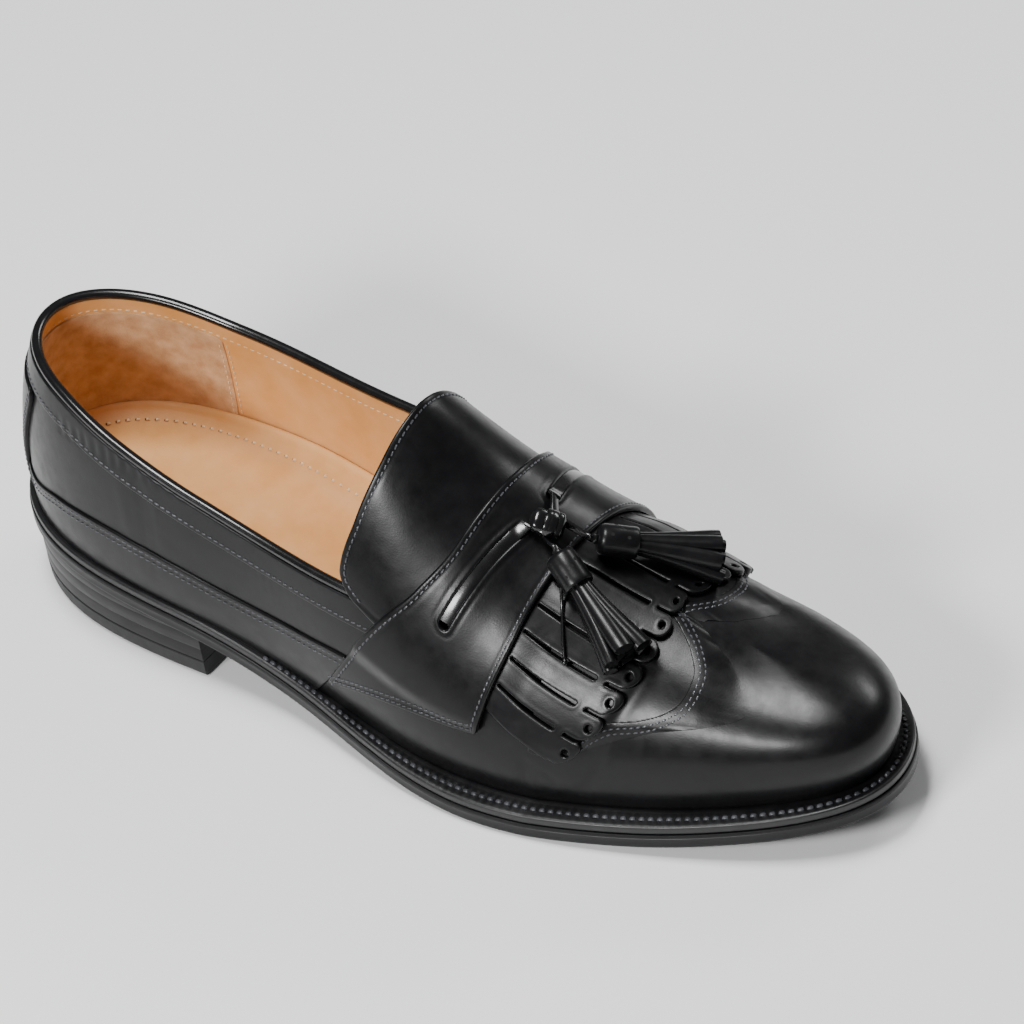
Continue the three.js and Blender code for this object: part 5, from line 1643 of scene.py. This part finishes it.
@dataclass
class Sole:
    """Outsole, welt, heel, top lift and insole."""

    last: Last
    finishes: Finishes
    breast: float = 0.28
    top_lift: float = 5.5
    insole: float = 3.4
    cup_height: float = 3.2
    pitch: float = 2.75
    stitch_inset: float = 5.6
    lip: float = 1.2

    def __post_init__(self) -> None:
        """Curves of the insole's cupped edge."""
        self.cups = [EasyCurve([0, .15, .35, .50, .65, 1], np.array(row) * self.cup_height)
                     for row in ([1, 1, .9, .6, .3, .3], [1, 1.4, 2.4, 1.8, .4, .4])]

    def ring(self, count: int) -> tuple[Array, Array]:
        """Turns and sides of stations once round the sole."""
        turns = np.linspace(0, 1, count + 1)
        return (np.concatenate([turns, turns[-2:0:-1]]),
                np.concatenate([-np.ones(count + 1), np.ones(count - 1)]))

    def plate(self, profile: Sequence[tuple[float, float]], count: int) -> Mesh:
        """Plate in the sole's outline with a profile of inset and height."""
        turn, side = self.ring(count)
        rings = np.array([self.last.sole_place(turn, side, i, h) for i, h in profile])
        n = rings.shape[1]
        faces = grid_faces(len(profile), n, closed=True, flip=True)
        for level, up in ((0, False), (len(profile) - 1, True)):
            for i in range(n // 2):
                a, b = i, i + 1
                c, d = (n - i - 1) % n, (n - i) % n
                face = list(dict.fromkeys([level * n + v for v in (a, b, c, d)]))
                if len(face) > 2:
                    faces.append(face if up else face[::-1])
        return rings.reshape(-1, 3), faces

    def outsole_mesh(self) -> Mesh:
        """Outsole with a softly hollowed edge and two fine lines."""
        t = self.last.outsole
        return self.plate([(1.2, 0), (.7, .02), (.25, .2), (0, .75), (.06, 1.2), (.10, 2.2),
                           (.06, 3.2), (0, 3.64), (.07, 3.72), (0, 3.80), (0, 4.3), (.22, 4.7),
                           (.45, t)], 300)

    def inner(self, turn: Array, side: Array) -> Array:
        """Inset of the upper's foot."""
        return self.last.pick(self.last.ledge, self.last.along_at(turn), side)

    def welt_mesh(self) -> Mesh:
        """Welt with wheeled notches along its top."""
        way_round, stations_a_notch = 680, 3.5
        count = int(way_round / self.pitch * stations_a_notch)
        turn, side = self.ring(count)
        edge = self.last.sole_point(turn, side)
        run = np.concatenate([[0], np.cumsum(np.linalg.norm(np.diff(edge, axis=0), axis=1))])
        base = self.last.outsole + self.last.gap
        top = base + self.last.welt
        inner = self.inner(turn, side)
        wide = inner - self.lip
        rings = [self.last.sole_place(turn, side, i, np.full(len(turn), h)) for i, h in (
            (.75, base), (.50, base + .35), (.55, base + 1.1), (.50, top - .75), (.62, top - .3),
            (.95, top - .04))]
        phase = 2 * np.pi * run / self.pitch
        has_room = smooth_step((inner - 4.2) / 1.2)
        for share in (.10, .20, .30, .40, .50, .60, .70, .80, .92):
            window = np.exp(-((share - .40) / .20) ** 2)
            notch = -.34 * window * (.5 + .5 * np.cos(phase + 3.0 * share)) ** 2 * has_room
            groove = -.16 * np.exp(-((share - .74) / .07) ** 2) * has_room
            rings.append(self.last.sole_place(turn, side, self.lip + wide * share,
                                              top + notch + groove))
        rings.append(self.last.sole_place(turn, side, inner + 1.6, np.full(len(turn), top)))
        rings.append(self.last.sole_place(turn, side, inner + 1.6, np.full(len(turn), base)))
        grid = np.array(rings + rings[:1])
        return grid.reshape(-1, 3), grid_faces(len(grid), grid.shape[1], closed=True, flip=True)

    def welt_stitches(self) -> Mesh:
        """Lock stitches that join the welt to the outsole."""
        top = self.last.outsole + self.last.gap + self.last.welt
        rows = []
        for side in (-1, 1):
            turn = np.linspace(float(self.last.turn_at(.36)), 1, 500)
            sides = np.full(len(turn), side)
            inset = self.lip + (self.inner(turn, sides) - self.lip) * .40
            line = self.last.sole_place(turn, sides, inset, np.full(len(turn), top - .02))
            rows.append(Stitching(self.pitch, .74, .62, 0).along(
                line, np.tile([0., 0, 1], (len(turn), 1))))
        return joined(rows)

    def heel_mesh(self, profile: Sequence[tuple[float, float, bool]]) -> Mesh:
        """Heel block cut square at the breast, with a profile of inset and height.

        Args:
            profile: inset, height, and whether the height is measured down from the outsole.

        Returns:
            The closed mesh.
        """
        limit = float(self.last.turn_at(self.breast))
        half = 60
        turn = np.concatenate([np.linspace(limit, 0, half + 1), np.linspace(0, limit, half + 1)[1:]])
        side = np.concatenate([-np.ones(half + 1), np.ones(half)])
        across = np.linspace(0, 1, 22)[1:-1]
        rings = []
        for inset, height, hung in profile:
            place = self.last.sole_place(turn, side, inset, 0 * turn)
            front = place[-1] + across[:, None] * (place[0] - place[-1])
            place = np.vstack([place, front])
            z = self.last.sole_height(place[:, 0]) - height if hung else np.full(len(place), height)
            rings.append(np.column_stack([place[:, :2], z]))
        grid = np.array(rings)
        n = grid.shape[1]
        faces = grid_faces(len(grid), n, closed=True)
        for level, up in ((0, False), (len(grid) - 1, True)):
            for i in range(half):
                face = [level * n + v for v in (half - i, half - i - 1, half + i + 1, half + i)]
                face = list(dict.fromkeys(face))
                faces.append(face[::-1] if up else face)
            rim = [level * n + v for v in range(2 * half, n)] + [level * n]
            faces.append(rim if up else rim[::-1])
        return grid.reshape(-1, 3), faces

    def cup(self, turn: Array, side: Array, edge: Array) -> Array:
        """Rise of the insole at a distance in from its edge, with a lip along the edge."""
        along = self.last.along_at(turn)
        rise = np.where(np.asarray(side) < 0, self.cups[0](along), self.cups[1](along))
        return (rise * np.exp(-(edge / 5.0) ** 1.5) + .55 * smooth_step((2.6 - edge) / .9)
                - .35 * smooth_step((.7 - edge) / .7))

    def sock_mesh(self) -> Mesh:
        """Insole with its cupped edge."""
        rows, lanes = 260, 77
        turns = np.linspace(.004, .996, rows)
        flat = self.last.outsole + self.last.gap + self.last.welt + self.insole
        clear = self.last.wall + self.last.gap * .4
        edges = [self.last.sole_place(turns, s, self.inner(turns, np.full(rows, s)) + clear, 0 * turns)
                 for s in (-1, 1)]
        share = (1 - np.cos(np.linspace(0, np.pi, lanes))) / 2
        place = edges[0][:, None, :2] + share[None, :, None] * (edges[1] - edges[0])[:, None, :2]
        from_edge = [np.linalg.norm(place - e[:, None, :2], axis=2) for e in edges]
        ends = np.stack([np.linalg.norm(place - edges[0][0, :2], axis=2),
                         np.linalg.norm(place - edges[0][-1, :2], axis=2)]).min(0)
        heights = [flat + self.cup(turns[:, None], s, np.minimum(d, ends))
                   for s, d in zip((-1, 1), from_edge)]
        height = np.where(from_edge[0] < from_edge[1], heights[0], heights[1])
        z = self.last.sole_height(place[..., 0]) + height
        top = np.concatenate([place, z[..., None]], -1)
        low = top.copy()
        low[..., 2] = self.last.sole_height(place[..., 0]) + self.last.outsole + self.last.gap
        n = top.shape[0] * top.shape[1]
        faces = grid_faces(*top.shape[:2], flip=True) + grid_faces(*top.shape[:2], start=n)
        loop = ([(i, 0) for i in range(rows)] + [(rows - 1, j) for j in range(1, lanes)]
                + [(i, lanes - 1) for i in range(rows - 2, -1, -1)]
                + [(0, j) for j in range(lanes - 2, 0, -1)])
        ids = [i * lanes + j for i, j in loop]
        faces += [[b, a, a + n, b + n] for a, b in zip(ids, ids[1:] + ids[:1])]
        return np.concatenate([top.reshape(-1, 3), low.reshape(-1, 3)]), faces

    def sock_row(self, pitch: float, share: float, radius: float, ahead: float) -> Mesh:
        """Row of dots inside the insole's edge, from the waist round the heel and back.

        Args:
            pitch: distance between dots.
            share: length of a dot as a share of the pitch.
            radius: half its width.
            ahead: distance that the row is moved along.

        Returns:
            One mesh of all the dots.
        """
        flat = self.last.outsole + self.last.gap + self.last.welt + self.insole
        turn = np.concatenate([np.linspace(.60, 0, 300), np.linspace(0, .60, 300)[1:]])
        side = np.concatenate([-np.ones(300), np.ones(299)])
        inset = self.inner(turn, side) + self.last.wall + self.stitch_inset
        lift = flat + self.cup(turn, side, np.full(599, self.stitch_inset)) + .06
        line = self.last.sole_place(turn, side, inset, lift)
        line = np.array([np.convolve(np.pad(line[:, k], 9, "edge"), np.ones(19) / 19, "valid")
                         for k in range(3)]).T
        run = np.concatenate([[0], np.cumsum(np.linalg.norm(np.diff(line, axis=0), axis=1))])
        line = line[run >= ahead]
        return Stitching(pitch, share, radius, 0).along(line, np.tile([0., 0, 1], (len(line), 1)))

    def make(self) -> None:
        """Build the sole's pieces."""
        of = self.finishes.of
        piece("outsole_edge", self.outsole_mesh(), of("edge"), ["outsole"], 35)
        piece("wheeled_welt", self.welt_mesh(), of("welt"), ["welt"])
        piece("welt_stitches", self.welt_stitches(), of("thread"))
        lift = self.top_lift
        piece("rubber_top_lift", self.heel_mesh([
            (2.4, 0, False), (2.0, .0, False), (1.55, .35, False), (1.35, .9, False),
            (1.2, lift - .3, False), (1.45, lift, False)]), of("rubber"), ["top_lift"], 35)
        stack = [(1.5, lift + .3, False), (1.3, lift + .5, False)]
        for level in (4.9, 9.8):
            z = lift + .3 + level
            stack += [(1.20, z - .10, False), (1.24, z, False), (1.20, z + .10, False)]
        stack += [(1.15, .7, True), (1.3, .3, True)]
        piece("stacked_heel", self.heel_mesh(stack), of("edge"), ["heel_stack"], 35)
        piece("tan_sock", self.sock_mesh(), of("lining"), ["insole"], 60)
        piece("sock_stitches", self.sock_row(3.0, .42, .48, 0), of("pale"))
        piece("sock_holes", self.sock_row(3.0, .26, .34, 1.5), of("hole"))


# Studio

@dataclass
class Studio:
    """Camera, lights and floor."""

    azimuth: float = 42.59586388
    elevation: float = 40.70303964
    roll: float = -10.29216145
    distance: float = 1923.19833604
    focal: float = 6516.04218039
    aim: tuple[float, float] = (14.79209837, 46.39721007)
    frame_pixels: float = 1024.0
    sensor: float = 36.0

    def camera(self, shift: float) -> None:
        """Camera at the photograph's angle.

        Args:
            shift: sideways move of the shoe from the middle of its sole, in millimetres.
        """
        a, e, r = (math.radians(v) for v in (self.azimuth, self.elevation, self.roll))
        back = np.array([math.sin(a) * math.cos(e), -math.cos(a) * math.cos(e), math.sin(e)])
        right = np.array([math.cos(a), math.sin(a), 0])
        up = np.cross(back, right)
        c, s = math.cos(r), math.sin(r)
        right, up = c * right + s * up, c * up - s * right
        place = right * self.aim[0] + up * self.aim[1] + back * self.distance
        place[1] += shift
        data = bpy.data.cameras.new("camera")
        data.sensor_width = self.sensor
        data.lens = self.sensor * self.focal / self.frame_pixels
        data.clip_start, data.clip_end = 0.05, 20
        cam = bpy.data.objects.new("camera", data)
        rows = np.eye(4)
        rows[:3, 0], rows[:3, 1], rows[:3, 2], rows[:3, 3] = right, up, back, place * MM
        cam.matrix_world = Matrix(rows.tolist())
        bpy.context.scene.collection.objects.link(cam)
        bpy.context.scene.camera = cam

    def light(self, name: str, place: Sequence[float], target: Sequence[float],
              size: tuple[float, float], power: float) -> None:
        """Soft box aimed at a point."""
        data = bpy.data.lights.new(name, "AREA")
        data.shape, data.size, data.size_y, data.energy = "RECTANGLE", size[0], size[1], power
        lamp = bpy.data.objects.new(name, data)
        way = unit(np.array(place, float) - np.array(target, float))
        right = unit(np.cross([0, 0, 1.0], way))
        rows = np.eye(4)
        rows[:3, 0], rows[:3, 1], rows[:3, 2], rows[:3, 3] = right, np.cross(way, right), way, place
        lamp.matrix_world = Matrix(rows.tolist())
        bpy.context.scene.collection.objects.link(lamp)

    def floor(self) -> None:
        """Pale flat floor."""
        mesh = bpy.data.meshes.new("floor")
        mesh.from_pydata([(-4, -4, -.0006), (4, -4, -.0006), (4, 4, -.0006), (-4, 4, -.0006)], [],
                         [[0, 1, 2, 3]])
        plane = bpy.data.objects.new("floor", mesh)
        bpy.context.scene.collection.objects.link(plane)
        made = bpy.data.materials.new("pale_paper")
        made.use_nodes = True
        shader = made.node_tree.nodes["Principled BSDF"]
        shader.inputs["Base Color"].default_value = linear("#f4f4f4")
        shader.inputs["Roughness"].default_value = 0.9
        mesh.materials.append(made)

    def make(self, shift: float) -> None:
        """Set the stage."""
        self.camera(shift)
        self.floor()
        self.light("key", (-.16, -.04, 1.45), (.0, .0, .05), (.62, .34), 22)
        self.light("side", (-.04, -1.20, .86), (.02, 0, .04), (.50, .24), 20)
        self.light("back", (.25, 1.35, .95), (0, 0, .05), (.6, .3), 6)
        world = bpy.data.worlds.new("studio_air")
        world.use_nodes = True
        background = world.node_tree.nodes["Background"]
        background.inputs["Color"].default_value = linear("#f2f3f5")
        background.inputs["Strength"].default_value = 0.15
        bpy.context.scene.world = world


def main() -> None:
    """Build the shoe in its stage."""
    logging.basicConfig(level=logging.INFO, format="%(message)s")
    last = Last()
    finishes = Finishes()
    creases = Creases(last)
    Studio().make(last.shift)
    Lacing(last, finishes).make()
    Upper(last, finishes, creases).make()
    Front(last, finishes, creases).make()
    Sole(last, finishes).make()


if __name__ == "__main__":
    main()
